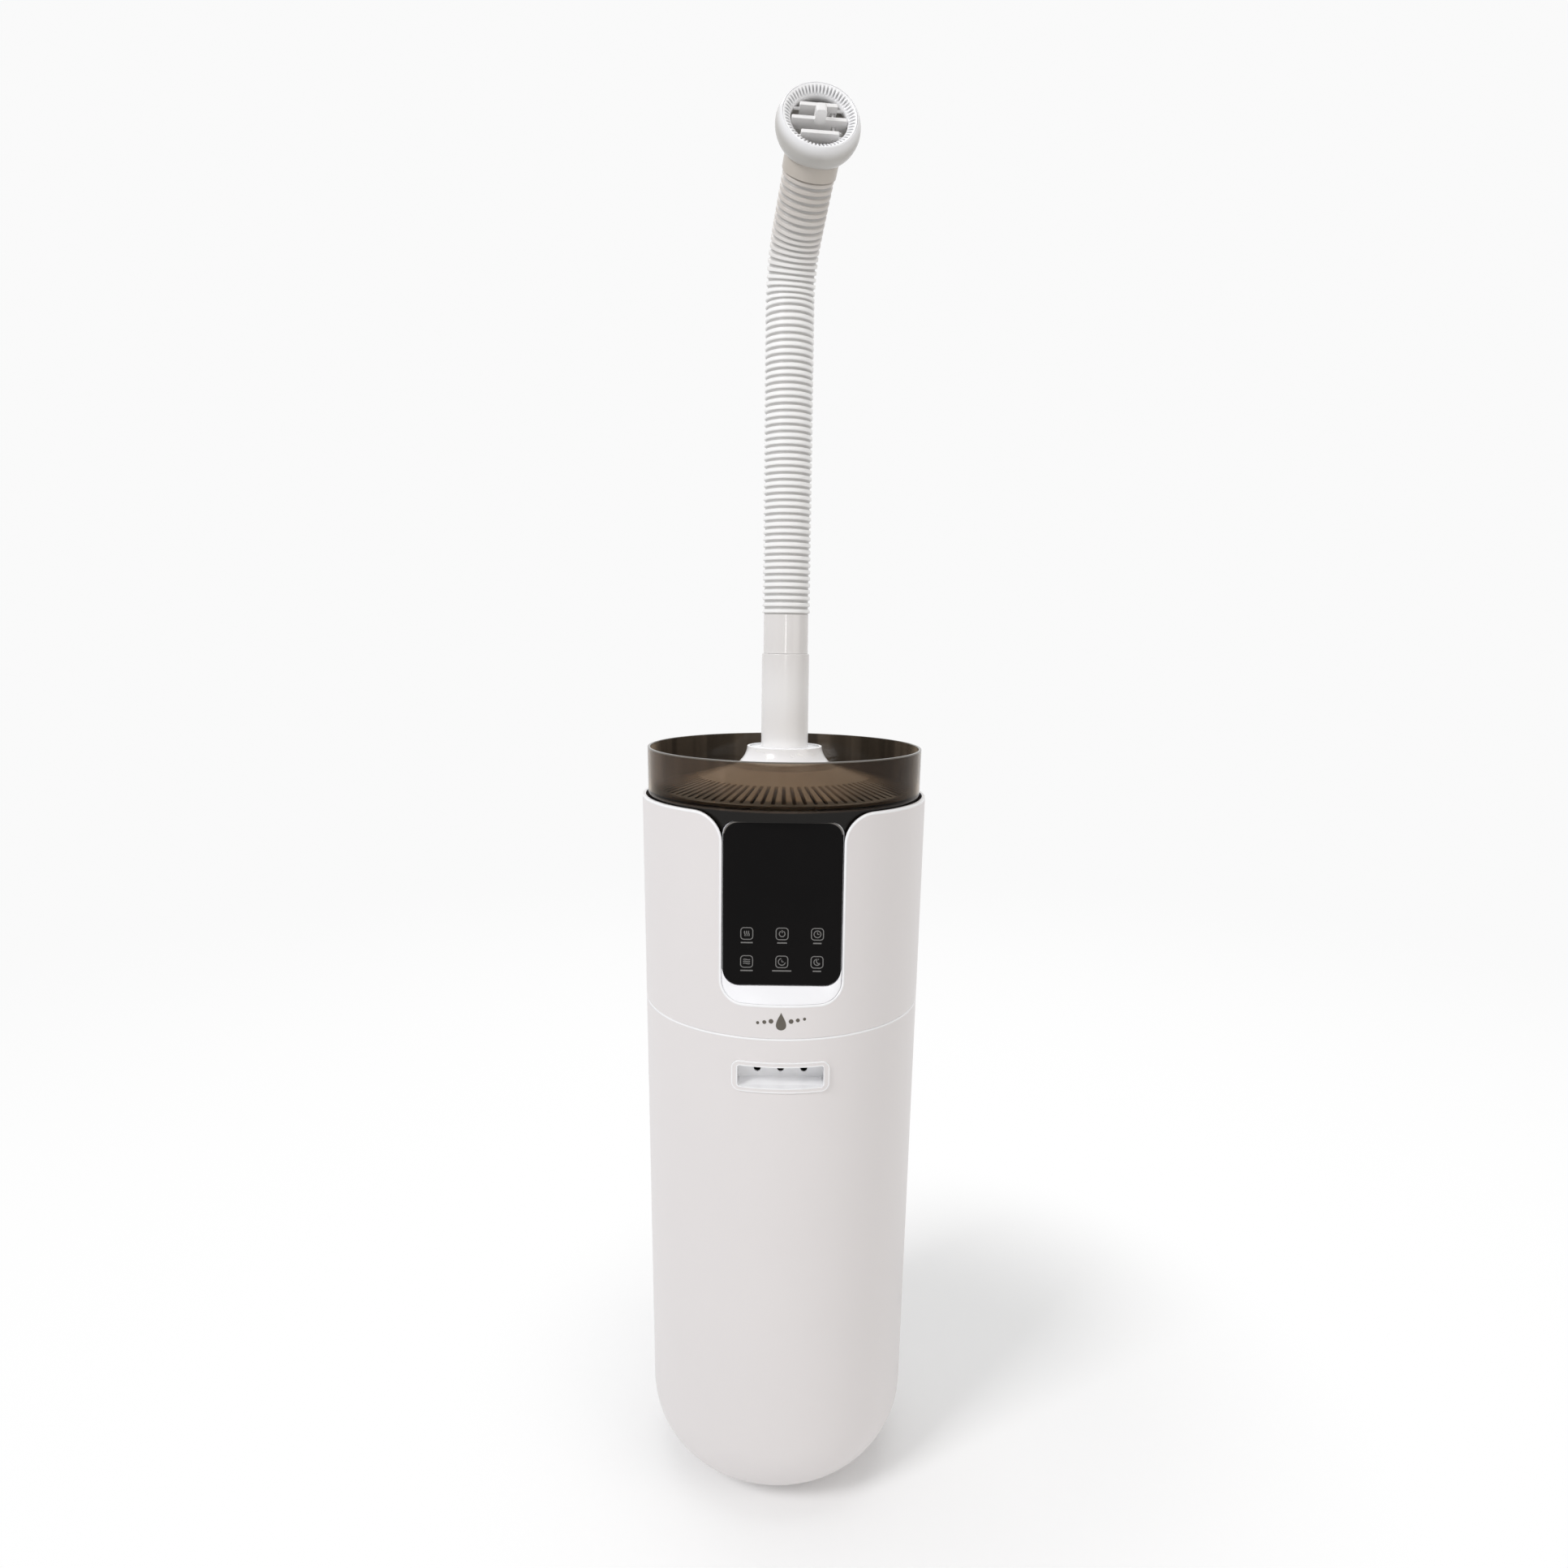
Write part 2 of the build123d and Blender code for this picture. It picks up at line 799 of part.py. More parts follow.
# ================================================================= dry case
case_top_z = flange_z + case_height
intake_low_z = intake_z - intake_height / 2
with BuildPart() as dry_case:
    add(tube(0, 0, flange_z, case_top_z, case_r))
    add(tube(0, 0, flange_z, flange_z + case_flange, case_flange_r))
    add(tube(0, 0, flange_z, case_top_z - case_wall, case_r - case_wall), mode=Mode.SUBTRACT)
    with BuildSketch(Plane.XY.offset(case_top_z - case_wall)):
        with Locations((riser_x, 0)):
            Circle(riser_r + fixed_gap)
        with Locations((-riser_x, 0)):
            Circle(overflow_r + fixed_gap)
        with Locations((0, transducer_y)):
            Circle(transducer_r - transducer_edge)
        with Locations((0, duct_y)):
            Rectangle(duct_width + 2 * fixed_gap, duct_depth + 2 * fixed_gap)
    extrude(amount=case_wall, mode=Mode.SUBTRACT)
    add(
        block(neck_width - 2 * cover_wall, neck_height - 2 * cover_wall, neck_z, 0, -far),
        mode=Mode.SUBTRACT,
    )
    add(
        block(intake_width - 2 * intake_wall, intake_height - 2 * intake_wall, intake_z, far, 0),
        mode=Mode.SUBTRACT,
    )
    with Locations((0, 0, flange_z)):
        with PolarLocations(case_screw_r, case_screw_count, case_screw_start):
            Hole(screw_r + fixed_gap / 2, depth=case_flange)
save(dry_case, "dry_case")

with BuildPart() as case_screws:
    add(
        pan_screws(
            ring_places(case_screw_r, case_screw_count, case_screw_start),
            flange_z + case_flange,
            case_flange + floor_thick,
            False,
        )
    )
save(case_screws, "case_screws")

# Power board on its posts, with transformer and capacitors.
board_z = flange_z + post_height
with BuildPart() as power_board:
    with BuildSketch(Plane.XY.offset(board_z)):
        with Locations((0, board_y)):
            Rectangle(board_width, board_length)
    extrude(amount=board_thick)
    with BuildSketch(Plane.XY.offset(board_z + board_thick)):
        with Locations((-board_width / 4, board_y)):
            Rectangle(transformer_width, transformer_length)
    extrude(amount=transformer_height)
    with BuildSketch(Plane.XY.offset(board_z + board_thick)):
        with Locations((board_width / 8, board_y)):
            with GridLocations(capacitor_pitch_x, capacitor_pitch_y, 2, 2):
                Circle(capacitor_r)
    extrude(amount=capacitor_height)
    with BuildSketch(Plane.XY.offset(board_z + board_thick)):
        with Locations((board_width * 0.36, board_y)):
            Rectangle(heat_sink_thick, heat_sink_length)
    extrude(amount=heat_sink_height)
save(power_board, "power_board")

# ================================================================= fan
fan_low_z = flange_z + fan_leg
fan_top_z = fan_low_z + fan_height
with BuildPart() as fan_housing:
    add(tube(0, fan_y, fan_low_z, fan_top_z, fan_r))
    add(
        tube(0, fan_y, fan_low_z + fan_wall, fan_top_z - fan_wall, fan_r - fan_wall),
        mode=Mode.SUBTRACT,
    )
    add(tube(0, fan_y, fan_low_z, fan_low_z + fan_wall, fan_intake_r), mode=Mode.SUBTRACT)
    with BuildSketch(Plane.XY.offset(fan_top_z - fan_wall)):
        with Locations((0, duct_y)):
            Rectangle(duct_width - 2 * duct_wall, duct_depth - 2 * duct_wall)
    extrude(amount=fan_wall, mode=Mode.SUBTRACT)
    with BuildSketch(Plane.XY.offset(flange_z)):
        with Locations((0, fan_y)):
            with PolarLocations(fan_r - fan_leg_r - fan_wall / 4, fan_leg_count, 90):
                Circle(fan_leg_r)
    extrude(amount=fan_leg)
save(fan_housing, "fan_housing")

motor_low_z = fan_top_z - fan_wall - motor_height
with BuildPart() as fan_motor:
    add(tube(0, fan_y, motor_low_z, fan_top_z - fan_wall, motor_r, shaft_r + running_gap))
save(fan_motor, "fan_motor")

disc_z = motor_low_z - bite - fan_disc_thick
with BuildPart() as fan_rotor:
    add(tube(0, fan_y, disc_z, disc_z + fan_disc_thick, blade_outer_r))
    add(tube(0, fan_y, disc_z, disc_z + fan_disc_thick + bite + shaft_length, shaft_r))
    with BuildSketch(Plane.XY.offset(disc_z - blade_height)):
        with Locations((0, fan_y)):
            with PolarLocations((blade_inner_r + blade_outer_r) / 2, blade_count):
                Rectangle(blade_outer_r - blade_inner_r, blade_thick)
    extrude(amount=blade_height)
save(fan_rotor, "fan_rotor")

# ================================================================= rear intake
with BuildPart() as intake_duct:
    outer = block(intake_width, intake_height, intake_z, far, 0, intake_corner)
    inner = block(intake_width - 2 * intake_wall, intake_height - 2 * intake_wall, intake_z, far, 0)
    shell_bore = barrel(shell_wall + intake_wall, intake_z - intake_height, intake_z + intake_height)
    add((outer - inner) & (shell_bore - tube(0, 0, 0, rim_z, case_r + fixed_gap)))
save(intake_duct, "intake_duct")

# Rear panel: curved to the shell, with intake slots and the hole for the power inlet.
panel_low_z = intake_low_z - panel_flange
panel_high_z = intake_low_z + intake_height + panel_flange
with BuildPart() as rear_panel:
    face = block(intake_width, intake_height, intake_z, far, 0, intake_corner - seat_gap)
    flange = block(
        intake_width + 2 * panel_flange,
        intake_height + 2 * panel_flange,
        intake_z,
        far,
        0,
        panel_flange_corner,
    )
    flange_front = shell_wall + fixed_gap
    flange_back = flange_front + panel_flange_thick
    add(face & band(-panel_proud, shell_wall + panel_behind, panel_low_z, panel_high_z))
    add(flange & band(flange_front, flange_back, panel_low_z - bite, panel_high_z + bite))
    with BuildSketch(Plane.XZ):
        with Locations((slot_x, intake_z)):
            with GridLocations(slot_pitch, 0, slot_count, 1):
                SlotOverall(slot_height, slot_width, 90)
        with Locations((inlet_x, intake_z)):
            RectangleRounded(inlet_width + 2 * fixed_gap, inlet_height + 2 * fixed_gap, inlet_corner)
    extrude(amount=-far, mode=Mode.SUBTRACT)
save(rear_panel, "rear_panel")

# Power inlet: a socket with two blade-free round pins, let into the panel.
inlet_face = sqrt(casing_r(intake_z) ** 2 - inlet_x**2)
with BuildPart() as power_inlet:
    add(
        block(
            inlet_width,
            inlet_height,
            intake_z,
            inlet_face,
            inlet_face - inlet_depth,
            inlet_corner,
            inlet_x,
        )
    )
    add(
        block(
            inlet_width - 2 * inlet_wall,
            inlet_height - 2 * inlet_wall,
            intake_z,
            inlet_face + bite,
            inlet_face - inlet_depth + inlet_wall,
            inlet_corner - inlet_wall / 2,
            inlet_x,
        ),
        mode=Mode.SUBTRACT,
    )
    with BuildSketch(Plane.XZ.offset(-(inlet_face - inlet_depth))):
        with Locations((inlet_x, intake_z)):
            with GridLocations(2 * inlet_pin_half, 0, 2, 1):
                Circle(inlet_pin_r)
    extrude(amount=-(inlet_wall + inlet_pin_length))
save(power_inlet, "power_inlet")

# ================================================================= mist basin
basin_low_z = case_top_z
basin_top_z = basin_low_z + basin_height
basin_floor_z = basin_low_z + basin_wall
with BuildPart() as mist_basin:
    add(tube(0, 0, basin_low_z, basin_top_z, basin_r))
    add(tube(0, 0, basin_floor_z, basin_top_z, basin_r - basin_wall), mode=Mode.SUBTRACT)
    with BuildSketch(Plane.XY.offset(basin_low_z)):
        with Locations((riser_x, 0)):
            Circle(riser_r + fixed_gap)
        with Locations((-riser_x, 0)):
            Circle(overflow_r + fixed_gap)
        with Locations((0, transducer_y)):
            Circle(transducer_r - transducer_edge)
        with Locations((0, duct_y)):
            Rectangle(duct_width + 2 * fixed_gap, duct_depth + 2 * fixed_gap)
    extrude(amount=basin_wall, mode=Mode.SUBTRACT)
save(mist_basin, "mist_basin")

with BuildPart() as transducer_seal:
    add(
        tube(
            0,
            transducer_y,
            basin_floor_z,
            basin_floor_z + seal_thick,
            transducer_r,
            transducer_r - seal_width,
        )
    )
save(transducer_seal, "transducer_seal")

with BuildPart() as transducer:
    plate_z = basin_floor_z + seal_thick
    disc_low_z = plate_z + disc_rise
    add(tube(0, transducer_y, plate_z, plate_z + transducer_thick, transducer_r))
    add(tube(0, transducer_y, plate_z, plate_z + transducer_thick, disc_r), mode=Mode.SUBTRACT)
    add(tube(0, transducer_y, disc_low_z, disc_low_z + disc_thick, disc_r + disc_lap))
save(transducer, "transducer")

with BuildPart() as air_duct:
    with BuildSketch(Plane.XY.offset(fan_top_z)):
        with Locations((0, duct_y)):
            Rectangle(duct_width, duct_depth)
            Rectangle(duct_width - 2 * duct_wall, duct_depth - 2 * duct_wall, mode=Mode.SUBTRACT)
    extrude(amount=basin_floor_z + duct_above_basin - fan_top_z)
save(air_duct, "air_duct")

with BuildPart() as overflow_pipe:
    add(
        tube(
            -riser_x,
            0,
            floor_low_z - overflow_below,
            basin_floor_z + overflow_above_floor,
            overflow_r,
            overflow_r - riser_wall,
        )
    )
save(overflow_pipe, "overflow_pipe")

# Level float on its stem: a headed pin that the float slides on.
float_low_z = basin_floor_z + stem_foot_thick + seat_gap
stem_top_z = float_low_z + float_height + float_travel + bite
with BuildPart() as float_stem:
    add(tube(float_x, float_y, basin_floor_z, stem_top_z, float_stem_r))
    add(tube(float_x, float_y, basin_floor_z, basin_floor_z + stem_foot_thick, float_r))
    add(tube(float_x, float_y, stem_top_z, stem_top_z + stem_head_thick, float_stem_r + stem_head_over))
save(float_stem, "float_stem")

with BuildPart() as level_float:
    add(
        tube(
            float_x,
            float_y,
            float_low_z,
            float_low_z + float_height,
            float_r,
            float_stem_r + slide_gap,
        )
    )
    fillet(level_float.edges().filter_by(GeomType.CIRCLE).group_by(SortBy.RADIUS)[-1], float_round)
save(level_float, "level_float")

# Hood: gathers the mist into a neck that the tube plugs onto.
shoulder_z = basin_top_z + hood_rise
neck_r = tube_r - tube_wall - slide_gap
neck_top_z = shoulder_z + neck_length
with BuildPart() as mist_hood:
    with BuildSketch(Plane.XZ):
        lap_r = basin_r + fixed_gap
        with BuildLine():
            Polyline(
                (basin_r - basin_wall, basin_top_z),
                (lap_r, basin_top_z),
                (lap_r, basin_top_z - hood_lap),
                (lap_r + hood_wall, basin_top_z - hood_lap),
                (lap_r + hood_wall, basin_top_z + hood_wall),
                (hood_shoulder_r, shoulder_z - hood_throat),
                (hood_shoulder_r, shoulder_z),
                (neck_r, shoulder_z),
                (neck_r, neck_top_z),
                (neck_r - neck_wall, neck_top_z),
                (neck_r - neck_wall, shoulder_z - hood_throat - hood_wall),
                close=True,
            )
        make_face()
    revolve(axis=Axis.Z)
save(mist_hood, "mist_hood")

# ================================================================= pump
tank_floor_z = foot_height + shell_wall
pump_low_z = tank_floor_z + pump_clear
pump_base_z = pump_low_z + strainer_height
pump_top_z = pump_base_z + pump_body_height
strainer_r = pump_r - strainer_inset
with BuildPart() as pump_strainer:
    add(tube(riser_x, 0, pump_low_z, pump_base_z, strainer_r))
    add(
        tube(riser_x, 0, pump_low_z + pump_wall, pump_base_z, strainer_r - pump_wall),
        mode=Mode.SUBTRACT,
    )
    with BuildSketch(Plane.XY.offset(pump_low_z + pump_wall)):
        with Locations((riser_x, 0)):
            with PolarLocations(0, strainer_slots):
                Rectangle(far, strainer_slot_width)
    extrude(amount=strainer_height - pump_wall - strainer_rim, mode=Mode.SUBTRACT)
save(pump_strainer, "pump_strainer")

# The pump's chamber is open below and closed by a plate with the intake hole.
chamber_z = pump_base_z + pump_lid
chamber_top_z = chamber_z + impeller_height + chamber_gap
with BuildPart() as pump_body:
    add(tube(riser_x, 0, pump_base_z + pump_lid, pump_top_z, pump_r))
    fillet(pump_body.edges().filter_by(GeomType.CIRCLE).group_by(Axis.Z)[-1], pump_round)
    add(tube(riser_x, 0, chamber_z, chamber_top_z, impeller_r + chamber_gap), mode=Mode.SUBTRACT)
    add(
        tube(riser_x, 0, chamber_top_z, chamber_top_z + shaft_length + bite, shaft_r + running_gap),
        mode=Mode.SUBTRACT,
    )
    add(
        tube(riser_x, 0, pump_top_z - riser_socket, pump_top_z, riser_r + fixed_gap),
        mode=Mode.SUBTRACT,
    )
save(pump_body, "pump_body")

with BuildPart() as pump_plate:
    add(tube(riser_x, 0, pump_base_z, pump_base_z + pump_lid, pump_r, pump_intake_r))
save(pump_plate, "pump_plate")

with BuildPart() as pump_impeller:
    hub_z = chamber_z + chamber_gap / 2
    add(tube(riser_x, 0, hub_z, hub_z + impeller_disc, impeller_r))
    add(tube(riser_x, 0, hub_z, chamber_top_z + shaft_length, shaft_r))
    with BuildSketch(Plane.XY.offset(hub_z)):
        with Locations((riser_x, 0)):
            with PolarLocations(impeller_r / 2, impeller_blades):
                Rectangle(impeller_r - bite, impeller_blade_thick)
    extrude(amount=impeller_height)
save(pump_impeller, "pump_impeller")

with BuildPart() as riser_pipe:
    add(
        tube(
            riser_x,
            0,
            pump_top_z - riser_socket,
            basin_floor_z + riser_above_floor,
            riser_r,
            riser_r - riser_wall,
        )
    )
save(riser_pipe, "riser_pipe")

# ================================================================= lid
lid_r = casing_r(lid_z, smoked_inner + lid_gap)
rim_inner = lid_r - lid_rim
slot_ring_outer = rim_inner - slot_border
slot_ring_inner = slot_ring_outer - slot_length
slope = tan(radians(lid_slope))


def lid_height(radius):
    """Top of the lid's cone above its rim."""
    return lid_z + lid_thick + max(rim_inner - radius, 0) * slope


hole_r = collar_base_r - collar_seat
with BuildPart() as lid:
    with BuildSketch(Plane.XZ):
        with BuildLine():
            Polyline(
                (rim_inner, lid_z + fixed_gap),
                (lid_r, lid_z + fixed_gap),
                (lid_r, lid_z + lid_thick),
                (rim_inner, lid_z + lid_thick),
                (hole_r, lid_height(hole_r)),
                (hole_r, lid_height(hole_r) - lid_thick + fixed_gap),
                close=True,
            )
        make_face()
    revolve(axis=Axis.Z)
    with BuildSketch(Plane.XY.offset(lid_z)):
        with PolarLocations((slot_ring_inner + slot_ring_outer) / 2, lid_slots):
            SlotOverall(slot_ring_outer - slot_ring_inner, lid_slot_width)
    extrude(amount=collar_height, mode=Mode.SUBTRACT)
save(lid, "lid")

# Collar: a flared white ring round the tube, seated on the lid's cone.
collar_top_z = lid_z + collar_height
collar_low_z = lid_height(collar_base_r) + fixed_gap
with BuildPart() as lid_collar:
    with BuildSketch(Plane.XZ):
        with BuildLine():
            flare = RadiusArc(
                (collar_base_r, collar_low_z), (collar_top_r, collar_top_z), collar_curve
            )
            Line((collar_top_r, collar_top_z), (collar_top_r - collar_wall, collar_top_z))
            RadiusArc(
                (collar_top_r - collar_wall, collar_top_z),
                (hole_r, lid_height(hole_r) + fixed_gap),
                -(collar_curve + collar_wall),
            )
            Line((hole_r, lid_height(hole_r) + fixed_gap), (collar_base_r, collar_low_z))
        make_face()
    revolve(axis=Axis.Z)
save(lid_collar, "lid_collar")

# ================================================================= mist tube
tube_low_z = shoulder_z + seat_gap + tube_seal_height
tube_top_z = tube_low_z + tube_height
tube_bore_r = tube_r - tube_wall
with BuildPart() as tube_seal:
    add(tube(0, 0, shoulder_z + seat_gap, tube_low_z - seat_gap, tube_r, neck_r + slide_gap))
save(tube_seal, "tube_seal")

with BuildPart() as lower_tube:
    add(tube(0, 0, tube_low_z, tube_top_z, tube_r, tube_bore_r))
    fillet(lower_tube.edges().group_by(Axis.Z)[-1].sort_by(SortBy.RADIUS)[-1], tube_wall / 2)
save(lower_tube, "lower_tube")

# Cuff: the hose's plug, stepped to drop into the tube.
hose_low_z = tube_top_z + cuff_show
plug_r = tube_bore_r - slide_gap
with BuildPart() as hose_cuff:
    add(tube(0, 0, tube_top_z + seat_gap, hose_low_z, cuff_r))
    add(tube(0, 0, tube_top_z - cuff_inside, tube_top_z + seat_gap, plug_r))
    add(
        tube(0, 0, tube_top_z - cuff_inside, hose_low_z, plug_r - cuff_wall),
        mode=Mode.SUBTRACT,
    )
save(hose_cuff, "hose_cuff")

# ================================================================= hose
ridge_base_r = hose_r - ridge_depth
hose_bore_r = ridge_base_r - hose_wall


def ribbed_hose(base, length):
    """Corrugated straight run of hose standing on a plane."""
    count = max(int(length / ridge_pitch), 1)
    pitch = length / count
    steps = [(hose_bore_r, 0)]
    for i in range(count):
        start = i * pitch
        groove = (pitch - ridge_width) / 2
        steps.append((ridge_base_r, start))
        steps.append((ridge_base_r, start + groove / 2))
        steps.append((hose_r, start + groove))
        steps.append((hose_r, start + pitch - groove))
        steps.append((ridge_base_r, start + pitch - groove / 2))
    steps.append((ridge_base_r, length))
    steps.append((hose_bore_r, length))
    side = Plane(origin=base.origin, x_dir=base.x_dir, z_dir=-base.y_dir)
    with BuildPart() as body:
        with BuildSketch(side):
            with BuildLine():
                Polyline(*steps, close=True)
            make_face()
        revolve(axis=Axis(base.origin, base.z_dir))
    return body.part


lower_bend_z = hose_low_z + lower_run
middle_z = lower_bend_z + lower_bend_length
bend_z = middle_z + middle_run
with BuildPart() as hose_lower:
    add(ribbed_hose(Plane.XY.offset(hose_low_z), lower_run))
save(hose_lower, "hose_lower")

with BuildPart() as hose_lower_bend:
    add(
        tube(0, 0, lower_bend_z + zone_gap, middle_z - zone_gap, ridge_base_r, hose_bore_r)
    )
save(hose_lower_bend, "hose_lower_bend")

with BuildPart() as hose_middle:
    add(ribbed_hose(Plane.XY.offset(middle_z), middle_run))
save(hose_middle, "hose_middle")

# The upper bend leans the hose towards the front and a little to the right.
lean = Vector(sin(radians(bend_turn)), -cos(radians(bend_turn)), 0)
across = Vector(cos(radians(bend_turn)), sin(radians(bend_turn)), 0)
bend_centre = lean * bend_r + Vector(0, 0, bend_z)
bend = radians(bend_angle)
bend_end = bend_centre - lean * (bend_r * cos(bend)) + Vector(0, 0, bend_r * sin(bend))
hose_dir = lean * sin(bend) + Vector(0, 0, cos(bend))
gap_angle = degrees(zone_gap / bend_r)
start_plane = Plane(origin=(0, 0, bend_z), x_dir=lean, z_dir=(0, 0, 1))
bend_axis = Axis(bend_centre, across)
with BuildPart() as bend_body:
    with BuildSketch(start_plane):
        Circle(ridge_base_r)
        Circle(hose_bore_r, mode=Mode.SUBTRACT)
    revolve(axis=bend_axis, revolution_arc=bend_angle - 2 * gap_angle)
with BuildPart() as hose_upper_bend:
    add(bend_body.part.rotate(bend_axis, gap_angle))
save(hose_upper_bend, "hose_upper_bend")

upper_plane = Plane(origin=bend_end, x_dir=across, z_dir=hose_dir)
with BuildPart() as hose_upper:
    add(ribbed_hose(upper_plane, upper_run))
save(hose_upper, "hose_upper")

# ================================================================= outlet head
hose_end = bend_end + hose_dir * upper_run
head_centre = hose_end + hose_dir * head_beyond
outlet_dir = Vector(
    sin(radians(outlet_yaw)) * cos(radians(outlet_rise)),
    -cos(radians(outlet_yaw)) * cos(radians(outlet_rise)),
    sin(radians(outlet_rise)),
)
outlet_side = Vector(cos(radians(outlet_yaw)), sin(radians(outlet_yaw)), 0)
outlet = Plane(origin=head_centre, x_dir=outlet_side, z_dir=outlet_dir)
neck_plane = Plane(origin=hose_end, x_dir=across, z_dir=hose_dir)


def rod_on(base, low, high, outer, inner=0.0):
    """Tube or rod standing on a plane, between two distances along its normal."""
    with BuildPart() as body:
        with BuildSketch(base.offset(low)):
            Circle(outer)
            if inner:
                Circle(inner, mode=Mode.SUBTRACT)
        extrude(amount=high - low)
    return body.part


with BuildPart() as neck_sleeve:
    add(rod_on(neck_plane, 0, sleeve_length, sleeve_r, sleeve_bore_r))
    add(rod_on(neck_plane, -sleeve_lap, 0, hose_bore_r - fixed_gap, sleeve_bore_r))
    add(rod_on(neck_plane, sleeve_length, sleeve_length + spigot_length, spigot_r, sleeve_bore_r))
save(neck_sleeve, "neck_sleeve")

# The head is a dome, flatter along its outlet, on a neck that sits on the sleeve.
ring_side = Plane(origin=head_centre, x_dir=outlet_side, z_dir=Vector(outlet.y_dir) * -1)
ring_bore_r = mouth_ring_r + slide_gap / 2


def dome(radius, depth):
    """Ellipsoid about the outlet's axis."""
    with BuildPart() as body:
        with BuildSketch(ring_side):
            Ellipse(radius, depth)
            Rectangle(radius, 2 * depth, align=(Align.MAX, Align.CENTER), mode=Mode.SUBTRACT)
        revolve(axis=Axis(head_centre, outlet_dir))
    return body.part


with BuildPart() as head_ball:
    add(dome(head_r, head_depth))
    add(rod_on(neck_plane, sleeve_length + seat_gap, head_beyond, sleeve_r))
    add(dome(head_r - head_wall, head_depth - head_wall), mode=Mode.SUBTRACT)
    add(rod_on(outlet, mouth_offset, head_r + bite, head_r), mode=Mode.SUBTRACT)
    add(rod_on(outlet, 0, head_r, ring_bore_r), mode=Mode.SUBTRACT)
    add(rod_on(neck_plane, 0, head_beyond, spigot_r + running_gap), mode=Mode.SUBTRACT)
    add(rod_on(neck_plane, 0, sleeve_length + seat_gap, head_r), mode=Mode.SUBTRACT)
save(head_ball, "head_ball")

# Mouth ring: turns in the head's mouth and carries the louvers. Its catch sits behind
# the head's lip, where the dome's inner wall closes in on it.
catch_r = mouth_ring_r + ring_catch
lip_d = (head_depth - head_wall) * sqrt(1 - (catch_r / (head_r - head_wall)) ** 2)
catch_front = lip_d - seat_gap
catch_back = catch_front - ring_catch_thick
ring_back = mouth_offset - mouth_ring_depth
pivot_d = mouth_offset - louver_pivot_depth
pin_rows = [(i - (louver_count - 1) / 2) * louver_pitch for i in range(louver_count)]
with BuildPart() as mouth_ring:
    with BuildSketch(ring_side):
        with BuildLine():
            Polyline(
                (mouth_ring_inner, ring_back),
                (mouth_ring_r, ring_back),
                (mouth_ring_r, catch_back),
                (catch_r, catch_back),
                (catch_r, catch_front),
                (mouth_ring_r, catch_front),
                (mouth_ring_r, mouth_offset),
                (mouth_ring_r - mouth_ring_lip, mouth_offset),
                (mouth_ring_inner, mouth_offset - mouth_ring_flare),
                close=True,
            )
        make_face()
    revolve(axis=Axis(head_centre, outlet_dir))
    with BuildSketch(Plane(origin=head_centre, x_dir=outlet_dir, z_dir=outlet_side)):
        with Locations(*[(pivot_d, -row) for row in pin_rows]):
            Circle(louver_pin_r + running_gap)
    extrude(amount=mouth_ring_r, both=True, mode=Mode.SUBTRACT)
save(mouth_ring, "mouth_ring")

# Louvers: each has end pins in the ring and a small cross pin for the link bar.
louver_names = ["louver_top", "louver_middle", "louver_bottom"]
link_half = link_pin_r + link_edge
link_d = pivot_d - louver_chord / 2 + link_half
swing = radians(louver_swing)
slot_front = link_half / cos(swing) + louver_thick / 2 * tan(swing) + link_room
swing_rise = louver_chord / 2 * sin(radians(follow_swing)) + louver_thick / 2
louvers = {}
for name, row in zip(louver_names, reversed(pin_rows)):
    half = sqrt(mouth_ring_inner**2 - (abs(row) + swing_rise) ** 2) - louver_end_gap
    pin_half = sqrt(mouth_ring_inner**2 - row**2) + pin_reach
    level = Plane(
        origin=head_centre + Vector(outlet.y_dir) * row, x_dir=outlet_side, z_dir=outlet.y_dir
    )
    with BuildPart() as louver:
        with BuildSketch(level.offset(-louver_thick / 2)):
            with Locations((0, -pivot_d)):
                RectangleRounded(2 * half, louver_chord, louver_round)
            with Locations((link_x, -link_d - slot_front + louver_chord / 2)):
                Rectangle(link_slot_width, louver_chord, mode=Mode.SUBTRACT)
        extrude(amount=louver_thick)
        with BuildSketch(Plane(origin=level.origin, x_dir=outlet_dir, z_dir=outlet_side)):
            with Locations((pivot_d, 0)):
                Circle(louver_pin_r)
        extrude(amount=pin_half, both=True)
        with BuildSketch(
            Plane(origin=level.origin + outlet_side * link_x, x_dir=outlet_dir, z_dir=outlet_side)
        ):
            with Locations((link_d, 0)):
                Circle(link_pin_r)
        extrude(amount=link_slot_width / 2 + link_edge, both=True)
        if not row:
            with BuildSketch(level.offset(-knob_thick / 2)):
                with Locations((0, -(pivot_d + louver_chord / 2 + knob_length / 2 - knob_root))):
                    RectangleRounded(knob_width, knob_length, knob_round)
            extrude(amount=knob_thick)
    louvers[name] = louver
    save(louver, name)

# Link bar: keeps the three louvers parallel.
with BuildPart() as link_bar:
    link_plane = Plane(
        origin=head_centre + outlet_side * (link_x - link_thick / 2), x_dir=outlet_dir, z_dir=outlet_side
    )
    with BuildSketch(link_plane):
        with Locations((link_d, 0)):
            RectangleRounded(2 * link_half, louver_pitch * (louver_count - 1) + 2 * link_half, link_round)
        with Locations(*[(link_d, row) for row in pin_rows]):
            Circle(link_pin_r + running_gap, mode=Mode.SUBTRACT)
    extrude(amount=link_thick)
save(link_bar, "link_bar")
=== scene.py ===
import json
from math import atan2, cos, pi, radians, sin, tan

import bpy
import numpy as np
from mathutils import Matrix, Vector


